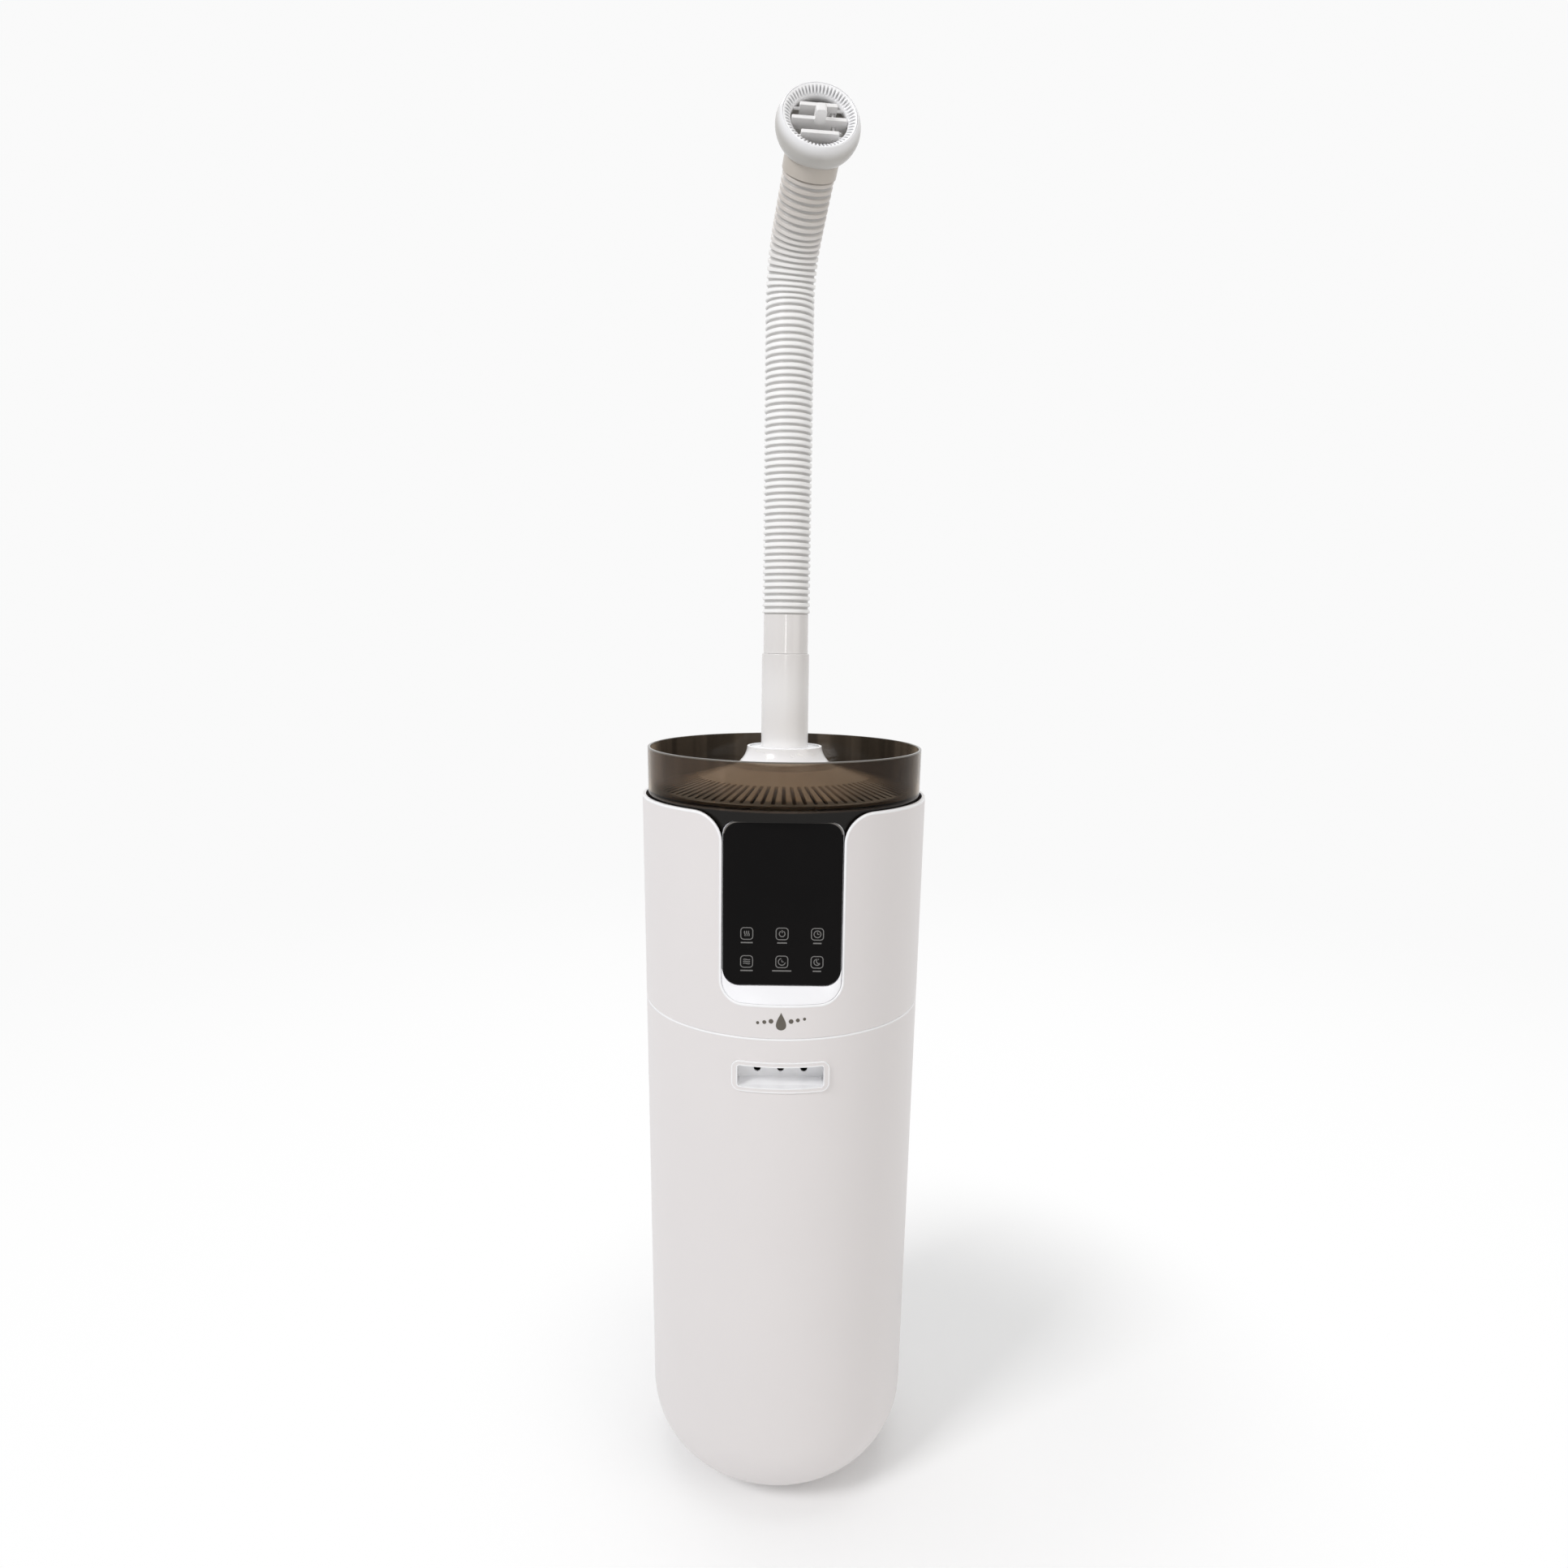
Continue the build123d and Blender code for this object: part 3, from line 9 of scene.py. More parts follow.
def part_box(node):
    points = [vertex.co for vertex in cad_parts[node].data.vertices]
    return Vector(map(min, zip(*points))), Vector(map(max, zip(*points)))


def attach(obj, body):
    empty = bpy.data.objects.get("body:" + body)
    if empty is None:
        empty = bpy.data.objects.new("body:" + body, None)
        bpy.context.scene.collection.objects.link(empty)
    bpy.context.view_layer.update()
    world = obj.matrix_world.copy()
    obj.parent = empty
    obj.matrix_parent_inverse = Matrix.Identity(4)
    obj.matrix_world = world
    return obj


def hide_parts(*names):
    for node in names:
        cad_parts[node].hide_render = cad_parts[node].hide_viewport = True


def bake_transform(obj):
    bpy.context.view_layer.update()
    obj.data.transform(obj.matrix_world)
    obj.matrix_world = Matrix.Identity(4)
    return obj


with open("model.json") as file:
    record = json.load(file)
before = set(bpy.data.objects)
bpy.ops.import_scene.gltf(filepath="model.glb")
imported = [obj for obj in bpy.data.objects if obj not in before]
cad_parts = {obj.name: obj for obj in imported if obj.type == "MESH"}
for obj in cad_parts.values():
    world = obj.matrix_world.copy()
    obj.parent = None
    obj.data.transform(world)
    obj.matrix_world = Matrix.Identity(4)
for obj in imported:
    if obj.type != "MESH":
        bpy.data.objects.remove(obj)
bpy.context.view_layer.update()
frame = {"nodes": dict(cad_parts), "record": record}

nodes = frame["nodes"]
joints = {joint["name"]: joint for joint in frame["record"]["behaviour"]["joints"]}


def nodeBox(name):
    low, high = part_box(name)
    return np.array(low, float), np.array(high, float)


def jointFacts(name):
    # a joint's place and its axis
    joint = joints[name]
    return np.array(joint["pos_m"], float), np.array(joint["axis"], float)


class Sock:
    # wraps a shader socket or a number, so that plain expressions add Math nodes
    def __init__(self, graph, value):
        self.graph = graph
        self.value = value

    def math(self, kind, *others):
        return self.graph.node("ShaderNodeMath", {"operation": kind}, self, *others)

    def __add__(self, other):
        return self.math("ADD", other)

    def __radd__(self, other):
        return self.math("ADD", other)

    def __sub__(self, other):
        return self.math("SUBTRACT", other)

    def __rsub__(self, other):
        return Sock(self.graph, other).math("SUBTRACT", self)

    def __mul__(self, other):
        return self.math("MULTIPLY", other)

    def __rmul__(self, other):
        return self.math("MULTIPLY", other)

    def __gt__(self, other):
        return self.math("GREATER_THAN", other)

    def __lt__(self, other):
        return self.math("LESS_THAN", other)

    def __abs__(self):
        return self.math("ABSOLUTE")

    def __pow__(self, other):
        return self.math("POWER", other)

    def top(self, other):
        return self.math("MAXIMUM", other)

    def over(self, low, high):
        # 0 at low and 1 at high, by a smooth step
        ends = {"From Min": low, "From Max": high}
        return self.graph.node("ShaderNodeMapRange", {"interpolation_type": "SMOOTHSTEP"}, self, **ends)


class Graph:
    # the nodes of a material or of the world
    def __init__(self, tree):
        self.nodes = tree.nodes
        self.links = tree.links

    def put(self, value, socket):
        # links a socket, or sets a number, a vector or a colour
        value = value.value if isinstance(value, Sock) else value
        if isinstance(value, bpy.types.NodeSocket):
            self.links.new(value, socket)
        elif socket.type == "RGBA":
            socket.default_value = (*value, 1)
        else:
            socket.default_value = value

    def node(self, kind, settings, *values, out=0, **named):
        # any node: its settings first, then what its sockets take, in order or by name
        made = self.nodes.new(kind)
        for key, value in settings.items():
            setattr(made, key, value)
        for socket, value in zip(made.inputs, values):
            self.put(value, socket)
        for key, value in named.items():
            self.put(value, made.inputs[key])
        return Sock(self, made.outputs[out])

    def mix(self, factor, first, second):
        # between two colours, which are a Mix node's inputs 6 and 7; its colour output is 2
        mixed = self.node("ShaderNodeMix", {"data_type": "RGBA"}, factor, out=2)
        self.put(first, mixed.value.node.inputs[6])
        self.put(second, mixed.value.node.inputs[7])
        return mixed

    def seen(self):
        # 1 for rays from the camera, from a mirror or through glass
        path = self.nodes.new("ShaderNodeLightPath")
        labels = ("Is Camera Ray", "Is Glossy Ray", "Is Transmission Ray")
        direct, mirrored, through = [Sock(self, path.outputs[label]) for label in labels]
        return direct.top(mirrored).top(through)

    def show(self, share, under, above, output):
        # one shader over another by a share from 0 to 1
        shown = self.node("ShaderNodeMixShader", {}, share, under, above)
        self.put(shown, self.nodes[output].inputs[0])


class Shader(Graph):
    # one material: what is the same all over sits on the shader's own sockets
    labels = {
        "color": "Base Color",
        "roughness": "Roughness",
        "metallic": "Metallic",
        "ior": "IOR",
        "transmission": "Transmission Weight",
        "specular": "Specular IOR Level",
    }

    def __init__(self, name, **constants):
        self.material = bpy.data.materials.new(name)
        self.material.use_nodes = True
        super().__init__(self.material.node_tree)
        self.surface = self.nodes["Principled BSDF"]
        for key, value in constants.items():
            self.feed(self.labels[key], value)

    def feed(self, label, value):
        self.put(value, self.surface.inputs[label])

    def place(self):
        # Object coordinates
        return self.node("ShaderNodeTexCoord", {}, out=3)

    def xyz(self):
        split = self.node("ShaderNodeSeparateXYZ", {}, self.place())
        return [Sock(self, output) for output in split.value.node.outputs]

    def attribute(self, name):
        return self.node("ShaderNodeAttribute", {"attribute_name": name}, out=2)

    def noise(self, scale, detail=2.0, rough=0.5, stretch=None):
        where = self.place()
        if stretch:
            where = self.node("ShaderNodeMapping", {}, where, Scale=stretch)
        return self.node("ShaderNodeTexNoise", {}, Vector=where, Scale=scale, Detail=detail, Roughness=rough)

    def bump(self, height, strength, distance):
        normal = self.node("ShaderNodeBump", {}, Height=height, Strength=strength, Distance=distance)
        self.feed("Normal", normal)

    def layer(self, share, other):
        self.show(share, Sock(self, self.surface.outputs[0]), other, "Material Output")


def scaled(color, share):
    return tuple(channel * share for channel in color)


def uneven(roughness, swing, amount):
    # a gloss that swings about its middle value as the amount goes from 0 to 1
    return roughness - swing / 2 + amount * swing


print("materials")
skin = {
    "driftScale": 9.0,
    "driftDetail": 3.0,
    "glossSwing": 0.08,
    "grainScale": 900.0,
    "grainStrength": 0.35,
}


def moulded(name, color, roughness, grain=0.00006, cloud=0.03, **more):
    # moulded plastic: a slow noise takes the colour down by up to the cloud share and swings the
    # gloss; bump by a fine noise
    shader = Shader(name, **more)
    drift = shader.noise(skin["driftScale"], skin["driftDetail"])
    shader.feed("Base Color", shader.mix(drift, scaled(color, 1 - cloud), color))
    shader.feed("Roughness", uneven(roughness, skin["glossSwing"], drift))
    shader.bump(shader.noise(skin["grainScale"]), skin["grainStrength"], grain)
    return shader.material


ridged = {
    "specular": 0.35,
    "cloud": 0.02,
    "upperBendShadeHeights": (1.085, 1.15),  # over the upper bend
    "groovePower": 1.4,
    "grooveShare": 0.92,
    "grain": 0.00003,
}


def ridgedPlastic(name, ridge, groove, upperBendShade, roughness):
    # hose plastic: the ridge colour, down by up to the cloud share by a slow noise, goes by height to a
    # painted shade over the upper bend; the groove colour, a painted shade in the grooves, covers it by a
    # power of the piece's groove attribute; the same noise swings the gloss, and bump by a fine noise
    shader = Shader(name, specular=ridged["specular"])
    drift = shader.noise(skin["driftScale"], skin["driftDetail"])
    height = shader.xyz()[2]
    clean = shader.mix(drift, scaled(ridge, 1 - ridged["cloud"]), ridge)
    bendShaded = shader.mix(height.over(*ridged["upperBendShadeHeights"]), clean, upperBendShade)
    # painted shade in the grooves, laid on by the groove attribute
    deep = shader.attribute("groove") ** ridged["groovePower"] * ridged["grooveShare"]
    shader.feed("Base Color", shader.mix(deep, bendShaded, groove))
    shader.feed("Roughness", uneven(roughness, skin["glossSwing"], drift))
    shader.bump(shader.noise(skin["grainScale"]), skin["grainStrength"], ridged["grain"])
    return shader.material


wetCollar = {
    "color": (0.965, 0.965, 0.98),
    # painted glint colour of the water drops
    "drop": (1.0, 1.0, 1.0),
    "stained": (0.30, 0.245, 0.19),
    "roughness": 0.2,
    "specular": 0.5,
    "level": 0.683,  # height up to which mist has stained it
    "fade": 0.001,
    "waveScale": 40.0,
    "wave": 0.001,
    "dropScale": 260.0,
    "dropDetail": 1.0,
    "dropFrom": (0.64, 0.70),
    "dropStrength": 0.4,
    "dropRise": 0.0004,
}


def collarWhite(name):
    # gloss white with raised drops, painted white as glints, where a fine noise is high; the stained colour
    # below a level, with a slow noise added to the height
    c = wetCollar
    shader = Shader(name, roughness=c["roughness"], specular=c["specular"])
    height = shader.xyz()[2] + shader.noise(c["waveScale"]) * c["wave"]
    drops = shader.noise(c["dropScale"], c["dropDetail"]).over(*c["dropFrom"])
    dropGlints = shader.mix(drops, c["color"], c["drop"])
    above = height.over(c["level"] - c["fade"], c["level"] + c["fade"])
    shader.feed("Base Color", shader.mix(above, c["stained"], dropGlints))
    shader.bump(drops, c["dropStrength"], c["dropRise"])
    return shader.material


satin = {
    "specular": 0.4,
    "cloud": 0.03,
    "edgeGloss": 0.14,  # how much smoother a polished edge is
    "grain": 0.1,  # height of the grain beside that of the edge
    "strength": 0.5,
    "rise": 0.0005,
}


def casing(name, color, highlightAndTone, roughness, beadAt):
    # satin plastic: a slow noise takes the colour down by up to the cloud share and swings the gloss;
    # beadAt gives 0 to 1 by place, and where it is 1 the colour turns to the second colour, a painted
    # highlight on the edges of the shell, tank and grip and at the head's mouth, a greyer tone on the
    # tube's top; there the surface is also smoother and raised
    shader = Shader(name, specular=satin["specular"])
    drift = shader.noise(skin["driftScale"], skin["driftDetail"])
    rim = beadAt(*shader.xyz())
    plain = shader.mix(drift, scaled(color, 1 - satin["cloud"]), color)
    shader.feed("Base Color", shader.mix(rim, plain, highlightAndTone))
    shader.feed("Roughness", uneven(roughness, skin["glossSwing"], drift) - rim * satin["edgeGloss"])
    height = shader.noise(skin["grainScale"]) * satin["grain"] + rim
    shader.bump(height, satin["strength"], satin["rise"])
    return shader.material


def roundedGap(x, z, halfWide, halfHigh, corner):
    # distance outside a rounded rectangle about the middle, negative inside
    wide = (abs(x) - (halfWide - corner)).top(0)
    high = (abs(z) - (halfHigh - corner)).top(0)
    return (wide * wide + high * high) ** 0.5 - corner


lipEdge = {
    "half": 0.05035,  # half the width of the display notch
    "low": 0.493,  # height of its bottom
    "inner": 0.018,  # corners at its bottom
    "outer": 0.025,  # corners where it meets the lip
    "top": 0.653,
    "split": 0.56,  # height between the two pairs of corners
    "fade": (0.0014, 0.0028),
}


def shellEdgeHighlight(x, y, z):
    # a painted highlight along the top lip and round the display notch: the distance in from that edge, by
    # rounded corners
    inner, outer, top = lipEdge["inner"], lipEdge["outer"], lipEdge["top"]
    side = abs(x)
    lowerX = (side - (lipEdge["half"] - inner)).top(0)
    lowerZ = (lipEdge["low"] + inner - z).top(0)
    lowerGap = (lowerX * lowerX + lowerZ * lowerZ) ** 0.5 - inner
    upperX = (lipEdge["half"] + outer - side).top(0)
    upperZ = (z - (top - outer)).top(0)
    upperGap = outer - (upperX * upperX + upperZ * upperZ) ** 0.5
    front = lowerGap + (z > lipEdge["split"]) * (upperGap - lowerGap)
    back = top - z
    gap = back + (y < 0) * (front - back)
    return 1.0 - gap.over(*lipEdge["fade"])


_, tankHigh = nodeBox("lower_shell")
seamZ = tankHigh[2]
seamEdge = {"start": 0.0022, "full": 0.0012}  # depths below the seam


def seamHighlight(x, y, z):
    # a painted highlight under the seam, by height: it rises over a millimetre and is full just under the
    # seam
    return z.over(seamZ - seamEdge["start"], seamZ - seamEdge["full"])


gripLow, gripHigh = nodeBox("front_grip")
gripZ = (gripLow[2] + gripHigh[2]) / 2
gripEdge = {
    "bezel": (0.0415, 0.0133, 0.007),  # half width, half height and corner
    "bezelFade": (-0.0012, -0.0004),
    "pocket": (0.0365, 0.0093, 0.002),
    "pocketFade": (0.0004, 0.0012),
}


def gripEdgeHighlight(x, y, z):
    # a painted highlight on the bezel's outer edge, the pocket and the lip round it, by the distances from
    # two rounded rectangles
    rise = z - gripZ
    bezel = roundedGap(x, rise, *gripEdge["bezel"])
    pocket = roundedGap(x, rise, *gripEdge["pocket"])
    return bezel.over(*gripEdge["bezelFade"]).top(1.0 - pocket.over(*gripEdge["pocketFade"]))


headCentre, outletDir = jointFacts("mouth_turn")
headShade = {"fade": (0.002, 0.0125)}  # along the outlet's axis, from the ball's middle


def headRim(x, y, z):
    # how far along the outlet's axis: painted shade on the neck side, painted light at the mouth's edge
    offsets = [axis - middle for axis, middle in zip((x, y, z), headCentre)]
    along = offsets[0] * outletDir[0] + offsets[1] * outletDir[1] + offsets[2] * outletDir[2]
    return along.over(*headShade["fade"])


tubeShade = {"fade": (0.735, 0.79)}  # heights


def tubeTop(x, y, z):
    # by height: towards the tube's top and on its cuff the plastic is greyer and glossier
    return z.over(*tubeShade["fade"])


glassLow, glassHigh = nodeBox("display_glass")
glassRim = {
    "corner": 0.012,
    "fade": (-0.0011, -0.0005),
    "down": 0.010,  # how far down from the top the edge shows
}


def glassEdgeHighlight(x, y, z):
    # a painted highlight on the edge along the top of the display, by the distance from its rounded outline
    middle, half = (glassLow + glassHigh) / 2, (glassHigh - glassLow) / 2
    gap = roundedGap(x, z - middle[2], half[0], half[2], glassRim["corner"])
    return gap.over(*glassRim["fade"]) * (z > glassHigh[2] - glassRim["down"])


smoked = {
    "tint": (0.34, 0.27, 0.20),
    "roughness": 0.03,
    "ior": 1.12,
    "specular": 0.5,
    "veil": (0.27, 0.20, 0.15),
    "veilShade": 0.3,
    "veilAcross": (0.12, 0.0),  # full up to the middle, shaded towards the right
    "veilHeights": (0.662, 0.674),
    "veilShare": 0.22,
    "back": (0.09, 0.07, 0.052),
    "backShade": 0.5,
    "backDepths": (-0.01, 0.05),
    "backShare": 0.9,
    # near-black painted shade of the inside, below the lid
    "deep": (0.008, 0.007, 0.006),
    "deepHeights": (0.6535, 0.6565),
    # colour of the painted highlight along the front of the top edge
    "edge": (0.14, 0.127, 0.11),
    "highlightHeight": 0.6949,
    "highlightDepth": 0.03,
    "darkRoughness": 0.08,
    "darkSpecular": 0.2,
    "streakScale": 46.0,
    "streakStretch": (1.0, 1.0, 0.06),
    "streakShift": 0.05,
    "streakLeast": 0.55,
    "streakFrom": 0.42,
    "backStreakFrom": 0.4,
    "streakTo": 0.6,
    "waveScale": 22.0,
    "waveStrength": 0.15,
    "wave": 0.0004,
}


def smokedPlastic(name):
    # clear plastic tinted right through, with a dark one over it: by height a brown veil by a small share
    # above the lid's edge, with painted shade towards the right, and all of it below, in the near-black of a
    # painted shade inside; by depth nearly all towards the back; a noise drawn out along the height streaks
    # its colours, and a painted highlight runs as a pale line along the front of its top edge
    s = smoked
    clear = Shader(name, color=s["tint"], roughness=s["roughness"], transmission=1.0, ior=s["ior"],
                   specular=s["specular"])
    x, y, z = clear.xyz()
    streak = clear.noise(s["streakScale"], stretch=s["streakStretch"])
    below = 1.0 - z.over(*s["deepHeights"])
    behind = y.over(*s["backDepths"])
    # where the painted highlight runs along the front of the top edge
    line = (z > s["highlightHeight"]) * (y < s["highlightDepth"])
    streaked = s["streakLeast"] + streak.over(s["streakFrom"], s["streakTo"]) * (1 - s["streakLeast"])
    light = (x + streak * s["streakShift"]).over(*s["veilAcross"]) * streaked
    front = clear.mix(light, scaled(s["veil"], s["veilShade"]), s["veil"])
    rear = clear.mix(streak.over(s["backStreakFrom"], s["streakTo"]), scaled(s["back"], s["backShade"]),
                     s["back"])
    wall = clear.mix(line, clear.mix(below, clear.mix(behind, front, rear), s["deep"]), s["edge"])
    facts = {"Base Color": wall, "Roughness": s["darkRoughness"], "Specular IOR Level": s["darkSpecular"]}
    dark = clear.node("ShaderNodeBsdfPrincipled", {}, **facts)
    share = (z.over(*s["veilHeights"]) * s["veilShare"]).top(behind * s["backShare"])
    clear.layer(share.top(below).top(line), dark)
    clear.bump(clear.noise(s["waveScale"]), s["waveStrength"], s["wave"])
    return clear.material


wetPlate = {
    "tan": (0.54, 0.44, 0.34),
    "tanShade": 0.8,
    # painted shade on the lid's back part
    "deep": (0.13, 0.11, 0.09),
    "deepDepths": (-0.02, 0.035),
    "edge": (0.04, 0.033, 0.026),
    "edgeOut": (0.070, 0.108),  # distances from the axis
    "edgeAcross": (0.028, 0.066),
    "rimOut": (0.106, 0.112),
    "edgeShare": 0.9,
    "specular": 0.5,
    "roughness": 0.19,
    "glossSwing": 0.14,
    "cloudScale": 26.0,
    "cloudDetail": 4.0,
    "cloudRough": 0.6,
}


def wetLid(name):
    # glossy smoked plate: tan in front, a painted light where light falls on it through the rim, and a
    # painted shade by depth behind; the edge colour covers both by distance from the axis, from nearer in
    # at the two sides; a noise clouds the tan and the gloss
    shader = Shader(name, specular=wetPlate["specular"])
    x, y, _ = shader.xyz()
    cloud = shader.noise(wetPlate["cloudScale"], wetPlate["cloudDetail"], wetPlate["cloudRough"])
    shine = shader.mix(cloud, scaled(wetPlate["tan"], wetPlate["tanShade"]), wetPlate["tan"])
    plate = shader.mix(y.over(*wetPlate["deepDepths"]), shine, wetPlate["deep"])
    out = (x * x + y * y) ** 0.5
    sides = out.over(*wetPlate["edgeOut"]) * abs(x).over(*wetPlate["edgeAcross"])
    dark = sides.top(out.over(*wetPlate["rimOut"])) * wetPlate["edgeShare"]
    shader.feed("Base Color", shader.mix(dark, plate, wetPlate["edge"]))
    shader.feed("Roughness", uneven(wetPlate["roughness"], wetPlate["glossSwing"], cloud))
    return shader.material


brushMarks = {
    "scale": 60.0,
    "detail": 3.0,
    "rough": 0.6,
    "stretch": (30.0, 30.0, 1.0),
    "shade": 0.8,
    "glossSwing": 0.16,
}


def brushed(name, color, roughness):
    # metal whose colour and gloss follow a noise drawn out along the height
    shader = Shader(name, metallic=1.0)
    b = brushMarks
    streak = shader.noise(b["scale"], b["detail"], b["rough"], b["stretch"])
    shader.feed("Base Color", shader.mix(streak, scaled(color, b["shade"]), color))
    shader.feed("Roughness", uneven(roughness, b["glossSwing"], streak))
    return shader.material


display = {
    "dark": (0.002, 0.002, 0.002),
    "pale": (0.005, 0.004, 0.004),
    # colour of the painted highlight along the glass's top edge
    "edge": (0.16, 0.15, 0.14),
    "specular": 0.08,
    "roughness": 0.08,
    "glossSwing": 0.06,
    "smearScale": 14.0,
    "smearDetail": 4.0,
    "smearRough": 0.6,
}


def blackGlass(name):
    # gloss black whose colour and gloss follow a slow noise, with a grey painted highlight along its top
    # edge
    shader = Shader(name, specular=display["specular"])
    smear = shader.noise(display["smearScale"], display["smearDetail"], display["smearRough"])
    shader.feed("Roughness", uneven(display["roughness"], display["glossSwing"], smear))
    black = shader.mix(smear, display["dark"], display["pale"])
    shader.feed("Base Color", shader.mix(glassEdgeHighlight(*shader.xyz()), black, display["edge"]))
    return shader.material


white = (0.805, 0.772, 0.765)
# colour of the painted highlight along the edges of the shell, tank and grip
highlightAndTone = (0.96, 0.96, 0.97)
satinGloss = 0.34
finishes = {
    "casing": moulded("satinWhite", white, satinGloss, specular=0.45),
    "tank": casing("tankWhite", white, highlightAndTone, satinGloss, seamHighlight),
    "grip": casing("gripWhite", white, highlightAndTone, satinGloss, gripEdgeHighlight),
    "trim": moulded("glossWhite", (0.90, 0.89, 0.885), 0.22, grain=0.00002, specular=0.5),
    "tube": casing("tubeWhite", (0.96, 0.95, 0.945), (0.79, 0.765, 0.75), 0.24, tubeTop),
    # the head's grey is a painted shade of the white ball, and its bright colour a painted light at the
    # mouth's edge
    "head": casing("headWhite", (0.49, 0.475, 0.45), (0.88, 0.88, 0.89), 0.2, headRim),
    "neck": moulded("neckGrey", (0.50, 0.457, 0.408), 0.26, grain=0.00002, specular=0.5),
    "seal": moulded("paleSilicone", (0.88, 0.88, 0.88), 0.4),
    # the hose's groove colour and its colour over the upper bend are painted shade; the flare's groove
    # colour is painted shade between its ribs
    "hose": ridgedPlastic("hoseWhite", (0.97, 0.965, 0.955), (0.44, 0.43, 0.42), (0.58, 0.54, 0.50), 0.3),
    "flare": ridgedPlastic("flareWhite", (0.95, 0.95, 0.96), (0.32, 0.32, 0.33), (0.95, 0.95, 0.96), 0.2),
    "collar": collarWhite("collarWhite"),
    "shell": casing("shellWhite", white, highlightAndTone, satinGloss, shellEdgeHighlight),
    "ledge": moulded("ledgeWhite", (0.97, 0.97, 0.99), 0.3, cloud=0.01, specular=0.4),
    "shade": moulded("frameShade", (0.035, 0.03, 0.026), 0.5),
    "inner": moulded("innerWhite", (0.74, 0.73, 0.71), 0.5),
    "grey": moulded("innerGrey", (0.42, 0.42, 0.41), 0.5),
    "rubber": moulded("greyRubber", (0.33, 0.33, 0.32), 0.7),
    "pump": moulded("pumpBlack", (0.035, 0.036, 0.04), 0.42),
    "black": moulded("socketBlack", (0.018, 0.018, 0.02), 0.5),
    "board": moulded("boardGreen", (0.03, 0.16, 0.07), 0.45, cloud=0.3),
    "smoked": smokedPlastic("smokedClear"),
    "lid": wetLid("smokedLid"),
    "glass": blackGlass("displayBlack"),
    "steel": brushed("screwSteel", (0.62, 0.62, 0.62), 0.32),
    "motor": brushed("motorCan", (0.45, 0.45, 0.46), 0.4),
    "icon": moulded("keyGrey", (0.17, 0.165, 0.16), 0.4, cloud=0.1),
    "emblem": moulded("emblemGrey", (0.12, 0.105, 0.085), 0.45, cloud=0.1),
}

dressing = {
    "casing": ["rear_panel"],
    "tank": ["lower_shell"],
    "grip": ["front_grip", "rear_grip"],
    "shell": ["upper_shell"],
    "ledge": ["display_frame"],
    "shade": ["display_cover"],
    "collar": ["lid_collar"],
    "trim": ["mouth_ring", "louver_top", "louver_middle", "louver_bottom", "link_bar"],
    "tube": ["lower_tube", "hose_cuff"],
    "head": ["head_ball"],
    "seal": ["tube_seal"],
    "neck": ["neck_sleeve"],
    "hose": ["hose_lower", "hose_lower_bend", "hose_middle", "hose_upper_bend", "hose_upper"],
    "smoked": ["smoked_shell"],
    "lid": ["lid"],
    "glass": ["display_glass"],
    "inner": ["unit_floor", "dry_case", "intake_duct", "mist_basin", "mist_hood",
              "air_duct", "overflow_pipe", "float_stem", "level_float", "riser_pipe"],
    "grey": ["fan_housing", "fan_rotor"],
    "motor": ["fan_motor"],
    "steel": ["display_screws", "floor_screws", "case_screws", "transducer"],
    "rubber": ["transducer_seal", "foot_ring"],
    "black": ["power_inlet"],
    "pump": ["pump_body", "pump_plate", "pump_strainer", "pump_impeller"],
    "board": ["display_board", "power_board"],
}
for finish, names in dressing.items():
    for name in names:
        mesh = nodes[name].data
        mesh.materials.clear()
        mesh.materials.append(finishes[finish])


def newPiece(name, points, faces, finish, slot, body=None, smooth=True):
    # points is an n by 3 array in metres, faces an m by 4 array
    mesh = bpy.data.meshes.new(name)
    mesh.from_pydata(points.tolist(), [], faces.tolist())
    mesh.validate()
    mesh.update()
    mesh.shade_smooth() if smooth else mesh.shade_flat()
    mesh.materials.append(finishes[finish])
    piece = bpy.data.objects.new(name, mesh)
    bpy.context.scene.collection.objects.link(piece)
    if body:
        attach(piece, body)
    return piece


def gridFaces(rows, columns, closeRows=True):
    # quads of a grid whose columns wrap round, and its rows too unless they are left open
    row = np.arange(rows if closeRows else rows - 1)
    r, c = np.meshgrid(row, np.arange(columns), indexing="ij")
    r, c = r.ravel(), c.ravel()
    nextRow, nextColumn = (r + 1) % rows, (c + 1) % columns
    corners = [(r, c), (r, nextColumn), (nextRow, nextColumn), (nextRow, c)]
    return np.stack([atRow * columns + atColumn for atRow, atColumn in corners], 1)


def joined(shapes):
    # several pairs of points and faces as one pair
    starts = np.cumsum([0] + [len(points) for points, _ in shapes])
    points = np.concatenate([points for points, _ in shapes])
    return points, np.concatenate([faces + start for (_, faces), start in zip(shapes, starts)])


def storeGroove(piece, values):
    # the attribute that the ridged plastic reads: 0 on a ridge, 1 in a groove
    stored = piece.data.attributes.new("groove", "FLOAT", "POINT")
    stored.data.foreach_set("value", values)


